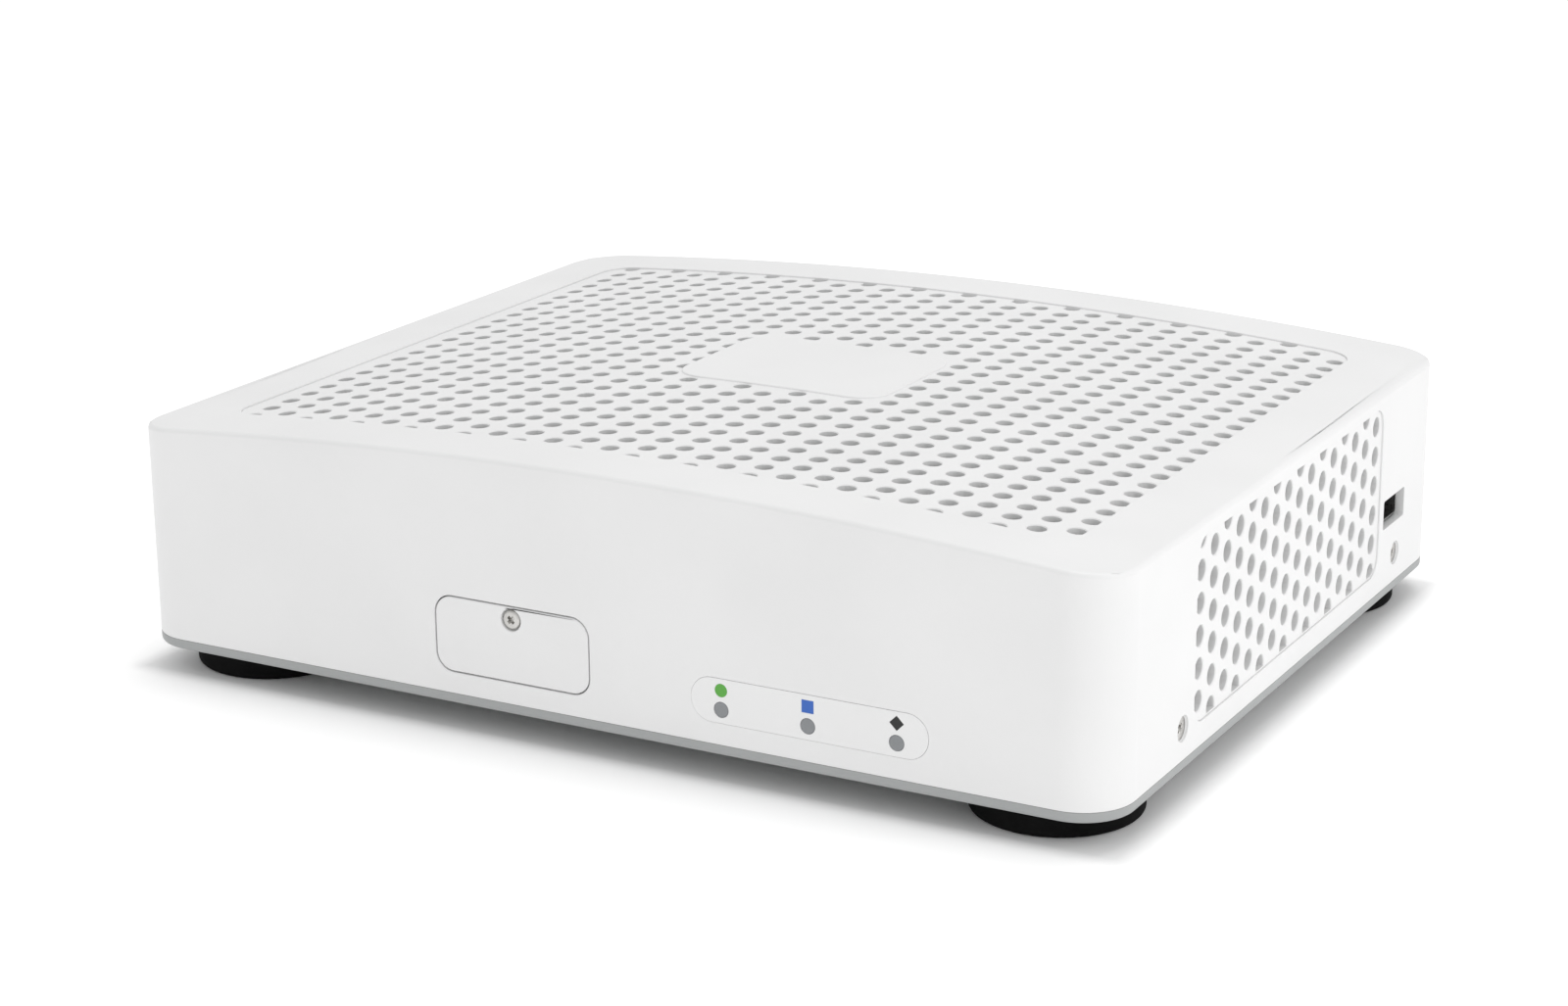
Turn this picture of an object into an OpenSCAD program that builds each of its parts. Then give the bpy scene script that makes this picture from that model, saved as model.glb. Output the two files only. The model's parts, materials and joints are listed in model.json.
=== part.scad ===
/* [Housing] */
// Width of the housing across the front, X
body_w = 247; // [245:1:252]
// Depth of the housing, front face to rear face, Y
body_d = 202; // [201:1:206]
// Height of the upright walls at the left and right edges
wall_h = 50; // [50:1:54]
// How far the middle of the roof rises above its left and right edges
crown_h = 5.8; // [5:0.2:7]
// Radius of the four upright corners
corner_r = 12; // [11:1:14]
// Thickness of the moulded walls and roof
wall_t = 2.5; // [2.4:0.1:2.6]
// Width of the fine seam round every fitted panel
seam = 0.2; // [0.15:0.05:0.25]

/* [Base] */
// Height of the rubber feet under the tray
foot_h = 6.6; // [6:0.2:8]
// Radius of a rubber foot
foot_r = 18.7; // [17:0.1:19]
// Distance from the middle to a foot's centre, X
foot_x = 101.3; // [100:0.1:102]
// Distance from the middle to a foot's centre, Y
foot_y = 78; // [77:0.5:79]
// Thickness of the tray, seen as the grey band under the housing
tray_t = 2.4; // [2.2:0.1:3]

/* [Vents] */
// Diameter of a vent hole in the roof
vent_hole_d = 4.2; // [3.6:0.1:4.4]
// Diameter of a vent hole in the sides
side_hole_d = 4.7; // [4:0.1:4.8]
// Distance between vent holes in the roof
roof_pitch = 7.3; // [7.2:0.1:7.4]
// Distance between vent holes in the sides
side_pitch = 7.25; // [7.2:0.05:7.3]
// How deep the perforated fields are sunk
field_step = 0.4; // [0.3:0.1:0.5]
// Thickness of the perforated sheet in the roof
sheet_t = 1.5; // [1.4:0.1:1.6]
// Thickness of the perforated sheets in the sides
side_sheet_t = 2.8; // [2.2:0.1:2.8]

/* [Front] */
// Width of the service cover
cover_w = 39.6; // [39:0.2:40.2]
// Height of the service cover
cover_h = 17.3; // [17:0.1:17.6]
// Diameter of an indicator light pipe
pipe_d = 3.5; // [3.2:0.1:3.6]
// Distance between the indicator lights
pipe_pitch = 20.8; // [20.4:0.1:21]

/* [Travel] */
// Travel of the power button
power_travel = 2; // [1:0.1:2]
// Travel of the reset button
reset_travel = 0.3; // [0.2:0.05:0.3]

/* [Hidden] */
$fn = 64;

// Heights above the surface that the feet stand on
z_tray = foot_h;
z_body = z_tray + tray_t;
z_eave = z_body + wall_h;
z_apex = z_eave + crown_h;
half_w = body_w / 2;
half_d = body_d / 2;
crown_r = half_w * half_w / (2 * crown_h) + crown_h / 2;
crown_fn = 720;
reach = 30;
eps = 0.01;

// Perforated fields: outline of each opening, and its pattern of holes
roof_field = [213, 169.4, 7];
roof_blank = [55, 42.5, 8];
roof_blank_at = [1, 1.5];
roof_phase = [2, 3.5];
roof_columns = [-14, 14];
roof_rows = [-12, 12];
side_field = [116, 41.6, 5];
side_field_z = z_body + 26.2;
side_rim = 0.6;
side_flange_in = 1.6;
side_columns = 16;
side_rows = [-1, 6];
side_first_row = 10.35;
flange_w = 3;
flange_t = 1;

// Front: service cover, its screw, and the indicator strip
cover_x = -19;
cover_z = z_body + 13.95;
cover_r = 4.2;
cover_t = 2;
cover_gap = 0.45;
cover_lip = 1.6;
cover_screw_z = z_body + 19.6;
strip_size = [56.2, 10, 4.9];
strip_x = 54.6;
strip_z = z_body + 10;
strip_t = 1.2;
pipe_z = z_body + 8.05;
mark_z = z_body + 12.4;
mark_t = 0.4;

// Boards
board_t = 1.6;
standoff_h = 5;
board_z = z_body + standoff_h;
board_top = board_z + board_t;
board_size = [200, 150, 3];
board_y = 19;
hole_rows = [-50, 18, 86];
hole_x = 94;
front_board_y = -half_d + 8;
front_board_x = 22;
front_board_size = [142, 24];
front_board_z = z_body + 13.5;
boss_x = [-44, 14, 88];
boss_z = z_body + 19;
reset_at = [-29, z_body + 12];
reset_size = [6.2, 3.5];
reset_hole_depth = 2;
header_at = [-8, z_body + 11];
chip_at = [-22, 16];
chip_h = 2.2;
pad_h = 0.8;
sink_w = 48;
sink_base = 3;
sink_z = board_top + chip_h + pad_h;
fin_h = 15;
fins = 13;
sink_pin_at = 19;
ribbon_x = 66;
ribbon_w = 14;
ribbon_t = 0.4;

// Rear panel and what shows through it
rear_t = 1.2;
rear_face = half_d - wall_t - 0.1;
// Notch in the rear wall, open down to the tray: width, height, corner radius
rear_window = [196, 29.5, 3];
rear_tabs = [-50, 0, 50];
jack_face = half_d - 1.5;
lan_x = 32;
lan_pitch = 14.8;
lan_ports = 4;
lan_size = [61, 20.4, 13.4];
lan_z = board_top + 0.2;
lan_open_z = lan_z + 3.4;
rj_open = [11.8, 13, 7.2];
phone_x = -20;
phone_pitch = 13.5;
phone_size = [27.5, 18, 12.6];
phone_open = [9.8, 12, 6.9];
phone_open_z = board_top + 3;
dc_at = [-82, z_body + 12.1];
power_at = [-62, z_body + 12.1];
power_cap_y = half_d - 0.2;
power_cap_l = 6.5;
power_switch_y = power_cap_y - power_cap_l - power_travel - 1.5;
fibre_at = [82, z_body + 14.5];
fibre_size = [13, 26, 9.4];
fibre_open = [9, 7.2];
hinge_z = fibre_at[1] + fibre_size[2] / 2 + 1.3;
hinge_y = half_d - 1.2;
hinge_r = 0.45;
ground_at = [-92, z_body + 22];

// USB socket on the right-hand side
usb_at = [68.35, z_body + 18.95];
usb_cut = [14.9, 7.1];
usb_size = [13.2, 5.8, 14];
usb_wall = 0.35;
usb_face = half_w - 1.8;
usb_board_from = [91, 60];
usb_board_to = [half_w - wall_t - 0.6, 84];
usb_board_z = usb_at[1] - usb_size[1] / 2 - board_t;
usb_posts = [[103.5, 63.5], [114, 79.5]];
tongue_back = usb_face - usb_size[2] + usb_wall;
tongue_front = usb_face - 2.7;
tongue_z = usb_at[1] + 0.15;

// Countersunk screws through the sides into the tray's tabs
side_screw_z = z_body + 7.2;
side_screw_y = [-64, 70.5];
tab_w = 8;
tab_h = 12;
tab_t = 2.6;

// ---------- shared shapes ----------

module rounded_rect(size, grow = 0) {
    w = size[0] + 2 * grow;
    d = size[1] + 2 * grow;
    r = size[2] + grow;
    square([w - 2 * r, d], center = true);
    square([w, d - 2 * r], center = true);
    for (sx = [-1, 1], sy = [-1, 1])
        translate([sx * (w / 2 - r), sy * (d / 2 - r)])
            circle(r = r);
}

module plan_outline(inset) {
    rounded_rect([body_w, body_d, corner_r], -inset);
}

module box_at(centre, size) {
    translate([centre[0] - size[0] / 2, centre[1] - size[1] / 2, centre[2]])
        cube(size);
}

// Everything below the arched roof surface, or below one sunk by "drop"
module under_crown(drop) {
    translate([0, body_d, z_apex - crown_r])
        rotate([90, 0, 0])
            cylinder(r = crown_r - drop, h = 2 * body_d, $fn = crown_fn);
}

// A slice of an upright column between two depths below the roof surface
module crown_slice(top_drop, bottom_drop) {
    difference() {
        intersection() {
            translate([0, 0, z_eave - 2 * crown_h])
                linear_extrude(reach)
                    children();
            under_crown(top_drop);
        }
        under_crown(bottom_drop);
    }
}

// Local axes on the front, right and rear faces: x along the face, y up, z outwards
module on_front(x, z) {
    translate([x, -half_d, z])
        rotate([90, 0, 0])
            children();
}

module on_right(y, z) {
    translate([half_w, y, z])
        rotate([90, 0, 90])
            children();
}

module on_rear(x, y, z) {
    translate([x, y, z])
        rotate([90, 0, 180])
            children();
}

module sunk(depth, height) {
    translate([0, 0, -depth])
        linear_extrude(height)
            children();
}

module both_sides() {
    children();
    mirror([1, 0, 0])
        children();
}

// A cross recess for a screw head, cut downwards from z = 0
module cross_recess(span, width, depth) {
    for (turn = [0, 90])
        rotate([0, 0, turn])
            translate([-span / 2, -width / 2, -depth])
                cube([span, width, depth + 1]);
}

// A screw with a pan head standing on z = 0 and its shank below
module pan_screw(head_r, head_h, shank_r, shank_l) {
    difference() {
        union() {
            rotate_extrude()
                polygon([[0, 0], [head_r, 0], [head_r, head_h * 0.45],
                    [head_r * 0.8, head_h * 0.85], [head_r * 0.45, head_h], [0, head_h]]);
            translate([0, 0, -shank_l])
                cylinder(r = shank_r, h = shank_l + eps);
        }
        translate([0, 0, head_h])
            cross_recess(head_r * 1.1, head_r * 0.26, head_h * 0.6);
    }
}

// A screw with a countersunk head whose flat top is at z = 0
module flat_screw(head_r, head_h, shank_r, shank_l) {
    difference() {
        union() {
            translate([0, 0, -head_h])
                cylinder(r1 = shank_r, r2 = head_r, h = head_h);
            translate([0, 0, -head_h - shank_l])
                cylinder(r = shank_r, h = shank_l + eps);
        }
        cross_recess(head_r * 1.1, head_r * 0.24, head_h * 0.7);
    }
}

// ---------- housing and its perforated fields ----------

module roof_holes() {
    edge = [roof_field[0] / 2, roof_field[1] / 2];
    keep = vent_hole_d * 0.2;
    blank = [roof_blank[0] / 2 - keep, roof_blank[1] / 2 - keep];
    for (i = [roof_columns[0]:roof_columns[1]], j = [roof_rows[0]:roof_rows[1]]) {
        x = roof_phase[0] + roof_pitch * i;
        y = roof_phase[1] + roof_pitch * (j + (abs(i) % 2) / 2);
        on_blank = abs(x - roof_blank_at[0]) < blank[0] && abs(y - roof_blank_at[1]) < blank[1];
        in_corner = abs(x) > edge[0] - 4 && abs(y) > edge[1] - 4;
        if (abs(x) < edge[0] - 2 && abs(y) < edge[1] + keep && !on_blank && !in_corner)
            translate([x, y])
                circle(d = vent_hole_d, $fn = 32);
    }
}

module roof_hole_field() {
    difference() {
        intersection() {
            rounded_rect(roof_field, -0.25);
            roof_holes();
        }
        translate(roof_blank_at)
            rounded_rect(roof_blank);
    }
}

module side_holes() {
    first_y = -side_pitch * (side_columns - 1) / 2 - 0.7;
    for (i = [0:side_columns - 1], j = [side_rows[0]:side_rows[1]]) {
        y = first_y + side_pitch * i;
        z = z_body + side_first_row + side_pitch * (j + (i % 2) / 2) - side_field_z;
        translate([y, z])
            circle(d = side_hole_d, $fn = 32);
    }
}

module side_hole_field() {
    intersection() {
        rounded_rect(side_field, -side_rim);
        side_holes();
    }
}

module side_flange_outline() {
    top = side_field[1] / 2 - 0.2;
    bottom = -side_field[1] / 2 - 2;
    width = side_field[0] + flange_w;
    translate([-width / 2, bottom])
        square([width, top - bottom]);
}

module housing_shell() {
    difference() {
        intersection() {
            translate([0, 0, z_body])
                linear_extrude(wall_h + 2 * crown_h)
                    plan_outline(0);
            under_crown(0);
        }
        intersection() {
            translate([0, 0, z_body - 1])
                linear_extrude(wall_h + 2 * crown_h)
                    plan_outline(wall_t);
            under_crown(wall_t);
        }
    }
}

module rear_notch() {
    below = 2 * rear_window[2];
    translate([0, (rear_window[1] - below) / 2])
        rounded_rect([rear_window[0], rear_window[1] + below, rear_window[2]]);
}

module housing_bosses() {
    for (x = boss_x)
        on_front(x, boss_z)
            translate([0, 0, -(front_board_y + half_d)])
                cylinder(r = 3, h = front_board_y + half_d - wall_t + eps);
    on_front(cover_x, cover_screw_z)
        translate([0, 0, -7])
            cylinder(r = 2.6, h = 7 - cover_t - 0.3);
    on_front(cover_x, cover_screw_z)
        translate([-2.6, 0, -7])
            cube([5.2, 5.5, 7 - cover_t - 0.3]);
}

module housing_cuts() {
    crown_slice(-1, wall_t + 1)
        rounded_rect(roof_field);
    both_sides()
        on_right(0, side_field_z)
            sunk(wall_t + 1, wall_t + 2)
                rounded_rect(side_field);
    on_front(cover_x, cover_z)
        sunk(cover_t + 0.05, cover_t + 1)
            rounded_rect([cover_w, cover_h, cover_r], cover_gap);
    difference() {
        on_front(cover_x, cover_z)
            sunk(wall_t + 1, wall_t + 2)
                rounded_rect([cover_w, cover_h, cover_r], -cover_lip);
        on_front(cover_x, cover_screw_z)
            sunk(wall_t + 1, wall_t + 1 - cover_t - 0.3) {
                circle(r = 2.6);
                translate([-2.6, 0])
                    square([5.2, 5.5]);
            }
    }
    on_front(strip_x, strip_z)
        sunk(strip_t, strip_t + 1)
            rounded_rect(strip_size, 0.12);
    for (i = [-1:1])
        on_front(strip_x + i * pipe_pitch, pipe_z)
            sunk(wall_t + 1, wall_t + 2)
                circle(d = pipe_d + 0.2);
    on_right(usb_at[0], usb_at[1])
        sunk(wall_t + 1, wall_t + 2)
            rounded_rect([usb_cut[0], usb_cut[1], 0.6]);
    both_sides()
        for (y = side_screw_y)
            on_right(y, side_screw_z) {
                sunk(0.7, 2)
                    circle(r = 2.9);
                translate([0, 0, -1.9])
                    cylinder(r1 = 1.7, r2 = 2.9, h = 1.2);
                sunk(wall_t + 1, wall_t)
                    circle(r = 1.7);
            }
    on_rear(0, half_d, z_body)
        sunk(wall_t + 1, wall_t + 2)
            rear_notch();
    for (x = boss_x)
        on_front(x, boss_z)
            sunk(front_board_y + half_d + 1, 5)
                circle(r = 1);
    on_front(cover_x, cover_screw_z)
        sunk(8, 7)
            circle(r = 1.4);
}

module housing() {
    color("white")
        difference() {
            union() {
                housing_shell();
                housing_bosses();
            }
            housing_cuts();
        }
}

module roof_vent_panel() {
    top = field_step;
    color("white")
        difference() {
            union() {
                crown_slice(top, top + sheet_t)
                    rounded_rect(roof_field, -seam);
                crown_slice(0, top + eps)
                    translate(roof_blank_at)
                        rounded_rect(roof_blank);
                crown_slice(top + sheet_t - eps, wall_t + eps)
                    difference() {
                        rounded_rect(roof_field, -seam);
                        rounded_rect(roof_field, -flange_w);
                    }
                crown_slice(wall_t, wall_t + flange_t)
                    difference() {
                        rounded_rect(roof_field, flange_w);
                        rounded_rect(roof_field, -flange_w);
                    }
            }
            translate([0, 0, z_eave - 2 * crown_h])
                linear_extrude(reach)
                    roof_hole_field();
        }
}

module side_vent() {
    color("white")
        on_right(0, side_field_z)
            difference() {
                union() {
                    sunk(field_step + side_sheet_t, side_sheet_t)
                        rounded_rect(side_field, -seam);
                    sunk(wall_t + flange_t, flange_t)
                        difference() {
                            side_flange_outline();
                            rounded_rect(side_field, -side_flange_in);
                        }
                }
                sunk(wall_t + 2, wall_t + 3)
                    side_hole_field();
            }
}

module side_vent_right() {
    side_vent();
}

module side_vent_left() {
    mirror([1, 0, 0])
        side_vent();
}

module housing_screws() {
    color("silver")
        both_sides()
            for (y = side_screw_y)
                on_right(y, side_screw_z)
                    translate([0, 0, -0.75])
                        flat_screw(2.75, 1.15, 1.4, 4);
}

// ---------- base ----------

module foot_spots() {
    for (sx = [-1, 1], sy = [-1, 1])
        translate([sx * foot_x, sy * foot_y, 0])
            children();
}

module base_tray() {
    slot = [3, 46];
    slot_pitch = 7;
    slots_each_side = 6;
    color([0.58, 0.6, 0.6])
        difference() {
            union() {
                translate([0, 0, z_tray])
                    linear_extrude(tray_t)
                        plan_outline(0);
                foot_spots()
                    translate([0, 0, z_body - eps])
                        cylinder(r = 4, h = 3);
                both_sides()
                    for (y = side_screw_y)
                        translate([half_w - wall_t - 0.2 - tab_t, y - tab_w / 2, z_body - eps])
                            cube([tab_t, tab_w, tab_h]);
            }
            foot_spots()
                translate([0, 0, z_tray - 1])
                    cylinder(r = 1.6, h = tray_t + 5);
            both_sides()
                for (y = side_screw_y)
                    on_right(y, side_screw_z)
                        translate([0, 0, -8])
                            cylinder(r = 1.45, h = 7);
            for (i = [-slots_each_side:slots_each_side])
                translate([i * slot_pitch, 0, z_tray - 1])
                    linear_extrude(tray_t + 2)
                        rounded_rect([slot[0], slot[1], slot[0] / 2 - eps]);
            for (x = rear_tabs)
                translate([x, rear_face - 6, z_tray - 1])
                    cylinder(r = 1.25, h = tray_t + 2);
            for (sx = [-1, 1], y = hole_rows)
                translate([sx * hole_x, y, z_tray - 1])
                    cylinder(r = 1.5, h = tray_t + 2);
        }
}

module foot() {
    edge_r = 1.2;
    color([0.08, 0.08, 0.08])
        rotate_extrude($fn = 96)
            difference() {
                union() {
                    translate([0, edge_r])
                        square([foot_r, foot_h - edge_r]);
                    square([foot_r - edge_r, edge_r + eps]);
                    translate([foot_r - edge_r, edge_r])
                        circle(r = edge_r);
                }
                translate([0, -1])
                    square([1.75, foot_h + 2]);
                translate([0, -1])
                    square([5, 1 + foot_h * 0.55]);
            }
}

module foot_front_left() {
    translate([-foot_x, -foot_y, 0])
        foot();
}

module foot_front_right() {
    translate([foot_x, -foot_y, 0])
        foot();
}

module foot_rear_left() {
    translate([-foot_x, foot_y, 0])
        foot();
}

module foot_rear_right() {
    translate([foot_x, foot_y, 0])
        foot();
}

module foot_screws() {
    color("silver")
        foot_spots()
            translate([0, 0, foot_h * 0.55])
                mirror([0, 0, 1])
                    pan_screw(3.2, 1.9, 1.55, 7);
}

// ---------- front: cover, indicators, front board ----------

module service_cover() {
    color("white")
        difference() {
            union() {
                on_front(cover_x, cover_z)
                    sunk(cover_t, cover_t)
                        rounded_rect([cover_w, cover_h, cover_r]);
                for (side = [-1, 1])
                    on_front(cover_x + side * 11, cover_z - 5.4)
                        translate([-2, -0.6, -4])
                            cube([4, 1.2, 4 - cover_t + eps]);
            }
            on_front(cover_x, cover_screw_z) {
                sunk(cover_t + 1, cover_t + 2)
                    circle(r = 1.5);
                sunk(1.2, 2)
                    circle(r = 2.55);
            }
        }
}

module service_cover_screw() {
    color("silver")
        on_front(cover_x, cover_screw_z)
            translate([0, 0, -1.2])
                pan_screw(2.25, 1.05, 1.25, 5.6);
}

module indicator_strip() {
    color([0.96, 0.96, 0.96])
        difference() {
            on_front(strip_x, strip_z)
                sunk(strip_t, strip_t)
                    rounded_rect(strip_size);
            for (i = [-1:1])
                on_front(strip_x + i * pipe_pitch, pipe_z)
                    sunk(strip_t + 1, strip_t + 2)
                        circle(d = pipe_d + 0.1);
            mark_at(-1, 1)
                circle(d = 3);
            mark_at(0, 1)
                square(2.85, center = true);
            mark_at(1, 1)
                rotate(45)
                    square(2.35, center = true);
        }
}

// One shape code above light pipe "i", as deep as a mark and "above" proud of the strip
module mark_at(i, above) {
    on_front(strip_x + i * pipe_pitch, mark_z)
        sunk(mark_t, mark_t + above)
            children();
}

module status_circle() {
    color([0.35, 0.67, 0.24])
        mark_at(-1, 0)
            circle(d = 3);
}

module status_square() {
    color([0.2, 0.39, 0.75])
        mark_at(0, 0)
            square(2.85, center = true);
}

module status_diamond() {
    color([0.08, 0.08, 0.08])
        mark_at(1, 0)
            rotate(45)
                square(2.35, center = true);
}

module light_pipes() {
    color([0.53, 0.54, 0.55])
        for (i = [-1:1])
            on_front(strip_x + i * pipe_pitch, pipe_z) {
                sunk(5.8, 5.8)
                    circle(d = pipe_d);
                sunk(wall_t + 1.2, 1)
                    circle(d = pipe_d + 1.6);
            }
}

module front_board() {
    color([0.1, 0.4, 0.25])
        difference() {
            translate([front_board_x, front_board_y, front_board_z])
                rotate([90, 0, 0])
                    sunk(board_t, board_t)
                        square(front_board_size, center = true);
            for (x = boss_x)
                on_front(x, boss_z)
                    sunk(20, 20)
                        circle(r = 1.3);
        }
}

module front_board_screws() {
    color("silver")
        for (x = boss_x)
            translate([x, front_board_y + board_t, boss_z])
                rotate([-90, 0, 0])
                    pan_screw(2.2, 1.5, 0.95, 4.5);
}

module status_leds() {
    color([0.95, 0.92, 0.8])
        for (i = [-1:1])
            translate([strip_x + i * pipe_pitch - 1.6, front_board_y - 1.4, pipe_z - 1.4])
                cube([3.2, 1.4, 2.8]);
}

module reset_switch() {
    side = reset_size[0];
    depth = reset_size[1];
    color([0.12, 0.12, 0.13])
        difference() {
            translate([reset_at[0] - side / 2, front_board_y - depth, reset_at[1] - side / 2])
                cube([side, depth, side]);
            translate([reset_at[0], front_board_y - depth, reset_at[1]])
                rotate([90, 0, 0])
                    sunk(reset_hole_depth, 3)
                        circle(r = 1.85);
        }
}

module reset_button() {
    color([0.85, 0.35, 0.2])
        translate([reset_at[0], front_board_y - reset_size[1], reset_at[1]])
            rotate([90, 0, 0])
                sunk(reset_hole_depth - reset_travel - 0.1, 3)
                    circle(r = 1.7);
}

module service_header() {
    pin_pitch = 2.54;
    columns = 4;
    color([0.1, 0.1, 0.1])
        translate([header_at[0] - columns * pin_pitch / 2, front_board_y - 2.2, header_at[1] - pin_pitch])
            cube([columns * pin_pitch, 2.2, 2 * pin_pitch]);
    for (i = [0:columns - 1], j = [0, 1])
        translate([header_at[0] + (i - (columns - 1) / 2) * pin_pitch - 0.32, front_board_y - 5.2,
            header_at[1] + (j - 0.5) * pin_pitch - 0.32])
            cube([0.64, 3.1, 0.64]);
}

module ribbon_cable() {
    rear = front_board_y + board_t + 2.2;
    top = front_board_z + 3;
    low = board_top + 5.4;
    far = board_y - board_size[1] / 2 + 12;
    bend = 4;
    color([0.8, 0.8, 0.82])
        translate([ribbon_x + ribbon_w / 2, 0, 0])
            rotate([90, 0, -90])
                linear_extrude(ribbon_w)
                    polygon([[-far, low], [-rear - bend, low], [-rear - bend, top], [-rear, top],
                        [-rear, top + ribbon_t], [-rear - bend - ribbon_t, top + ribbon_t],
                        [-rear - bend - ribbon_t, low + ribbon_t], [-far, low + ribbon_t]]);
}

module ribbon_sockets() {
    far = board_y - board_size[1] / 2 + 12;
    color([0.9, 0.88, 0.8]) {
        box_at([ribbon_x, front_board_y + board_t + 1.1, front_board_z + 1], [18, 2.2, 4.6]);
        box_at([ribbon_x, far + 1.6, board_top], [18, 3.2, 6.4]);
    }
}

// ---------- main board and what stands on it ----------

module board_spots() {
    for (sx = [-1, 1], y = hole_rows)
        translate([sx * hole_x, y, 0])
            children();
}

module main_board() {
    color([0.1, 0.4, 0.25])
        difference() {
            translate([0, board_y, board_z])
                linear_extrude(board_t)
                    rounded_rect(board_size);
            board_spots()
                translate([0, 0, board_z - 1])
                    cylinder(r = 1.7, h = board_t + 2);
        }
}

module board_standoffs() {
    color("goldenrod")
        board_spots() {
            difference() {
                translate([0, 0, z_body])
                    cylinder(r = 3, h = standoff_h, $fn = 6);
                translate([0, 0, z_body + 1.5])
                    cylinder(r = 1.3, h = standoff_h);
            }
            translate([0, 0, z_body - tray_t])
                cylinder(r = 1.45, h = tray_t + eps);
        }
}

// The screws that hold the main board down, and the same screws through the rear panel's tabs
module chassis_screws() {
    head_r = 2.8;
    head_h = 1.9;
    shank_r = 1.2;
    shank_l = 3.4;
    color("silver") {
        board_spots()
            translate([0, 0, board_top])
                pan_screw(head_r, head_h, shank_r, shank_l);
        for (x = rear_tabs)
            translate([x, rear_face - 6, z_body + rear_t])
                pan_screw(head_r, head_h, shank_r, shank_l);
    }
}

module processor() {
    color([0.12, 0.12, 0.13])
        box_at([chip_at[0], chip_at[1], board_top], [27, 27, chip_h]);
}

module thermal_pad() {
    color([0.6, 0.65, 0.75])
        box_at([chip_at[0], chip_at[1], board_top + chip_h], [25, 25, pad_h]);
}

module heatsink() {
    fin_t = 1.3;
    step = (sink_w - fin_t) / (fins - 1);
    color([0.25, 0.26, 0.28])
        difference() {
            union() {
                box_at([chip_at[0], chip_at[1], sink_z], [sink_w, sink_w, sink_base]);
                for (i = [0:fins - 1])
                    translate([chip_at[0] - sink_w / 2 + i * step, chip_at[1] - sink_w / 2, sink_z + sink_base - eps])
                        cube([fin_t, sink_w, fin_h]);
            }
            sink_pin_spots()
                translate([0, 0, sink_z - 1]) {
                    cylinder(r = 1.9, h = sink_base + 2);
                    translate([0, 0, sink_base + 1])
                        cylinder(r = 4.4, h = fin_h + 1);
                }
        }
}

// The two corners of the heatsink where a push pin goes through it into the board
module sink_pin_spots() {
    for (side = [-1, 1])
        translate([chip_at[0] + side * sink_pin_at, chip_at[1] - side * sink_pin_at, 0])
            children();
}

module heatsink_pins() {
    z = sink_z + sink_base;
    color("white")
        sink_pin_spots() {
            translate([0, 0, board_top])
                cylinder(r = 1.7, h = z - board_top + 0.5);
            translate([0, 0, z])
                cylinder(r = 3.2, h = 1.4);
            translate([0, 0, z])
                cylinder(r = 2, h = 7);
        }
}

module memory_chips() {
    color([0.14, 0.14, 0.15])
        for (i = [0:2])
            box_at([18, -6 + i * 17, board_top], [9, 13, 1.2]);
}

module switch_chip() {
    color([0.14, 0.14, 0.15])
        box_at([36, 43, board_top], [20, 20, 1.4]);
}

module lan_transformers() {
    color([0.1, 0.1, 0.1])
        for (i = [0:lan_ports - 1])
            box_at([lan_x + (i - (lan_ports - 1) / 2) * lan_pitch, 67, board_top], [11, 16, 5.6]);
}

module capacitors() {
    spots = [[-84, 62], [-72, 62], [-84, 48], [-72, 48], [-50, 58]];
    color([0.15, 0.18, 0.3])
        for (p = spots)
            translate([p[0], p[1], board_top])
                cylinder(r = 5, h = 12.5);
}

module inductors() {
    spots = [[-84, 28], [-68, 28], [-84, 12]];
    color([0.3, 0.3, 0.32])
        for (p = spots)
            difference() {
                box_at([p[0], p[1], board_top], [12, 12, 6.5]);
                translate([p[0], p[1], board_top + 5.5])
                    cylinder(r = 4, h = 2);
            }
}

// ---------- fibre port ----------

module optical_transceiver() {
    color("silver")
        box_at([fibre_at[0], half_d - 1 - fibre_size[1] - 19, board_top], [15, 38, 13.4]);
}

module fibre_adapter() {
    end_y = half_d - 1;
    sleeve_depth = 15;
    color([0.15, 0.55, 0.3])
        difference() {
            union() {
                translate([fibre_at[0], end_y, fibre_at[1]])
                    rotate([90, 0, 0])
                        linear_extrude(fibre_size[1])
                            square([fibre_size[0], fibre_size[2]], center = true);
                translate([fibre_at[0], rear_face - rear_t - 0.2, fibre_at[1]])
                    rotate([90, 0, 0])
                        linear_extrude(1.6)
                            square([20, fibre_size[2]], center = true);
                for (side = [-1, 1])
                    translate([fibre_at[0] + side * 5.6 - 0.9, hinge_y - 1, fibre_at[1] + fibre_size[2] / 2 - eps])
                        cube([1.8, 1.8, 2.3]);
            }
            translate([fibre_at[0], end_y + 1, fibre_at[1]])
                rotate([90, 0, 0])
                    linear_extrude(sleeve_depth + 1)
                        square(fibre_open, center = true);
            translate([fibre_at[0] - 8, hinge_y, hinge_z])
                rotate([0, 90, 0])
                    cylinder(r = hinge_r, h = 16);
        }
}

module fibre_sleeve() {
    color("ivory")
        translate([fibre_at[0], half_d - 6, fibre_at[1]])
            rotate([90, 0, 0])
                difference() {
                    cylinder(r = 1.6, h = 10);
                    translate([0, 0, -1])
                        cylinder(r = 1.25, h = 10);
                }
}

module fibre_shutter_pin() {
    color("silver")
        translate([fibre_at[0] - 6.5, hinge_y, hinge_z])
            rotate([0, 90, 0])
                cylinder(r = hinge_r, h = 13);
}

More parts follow.
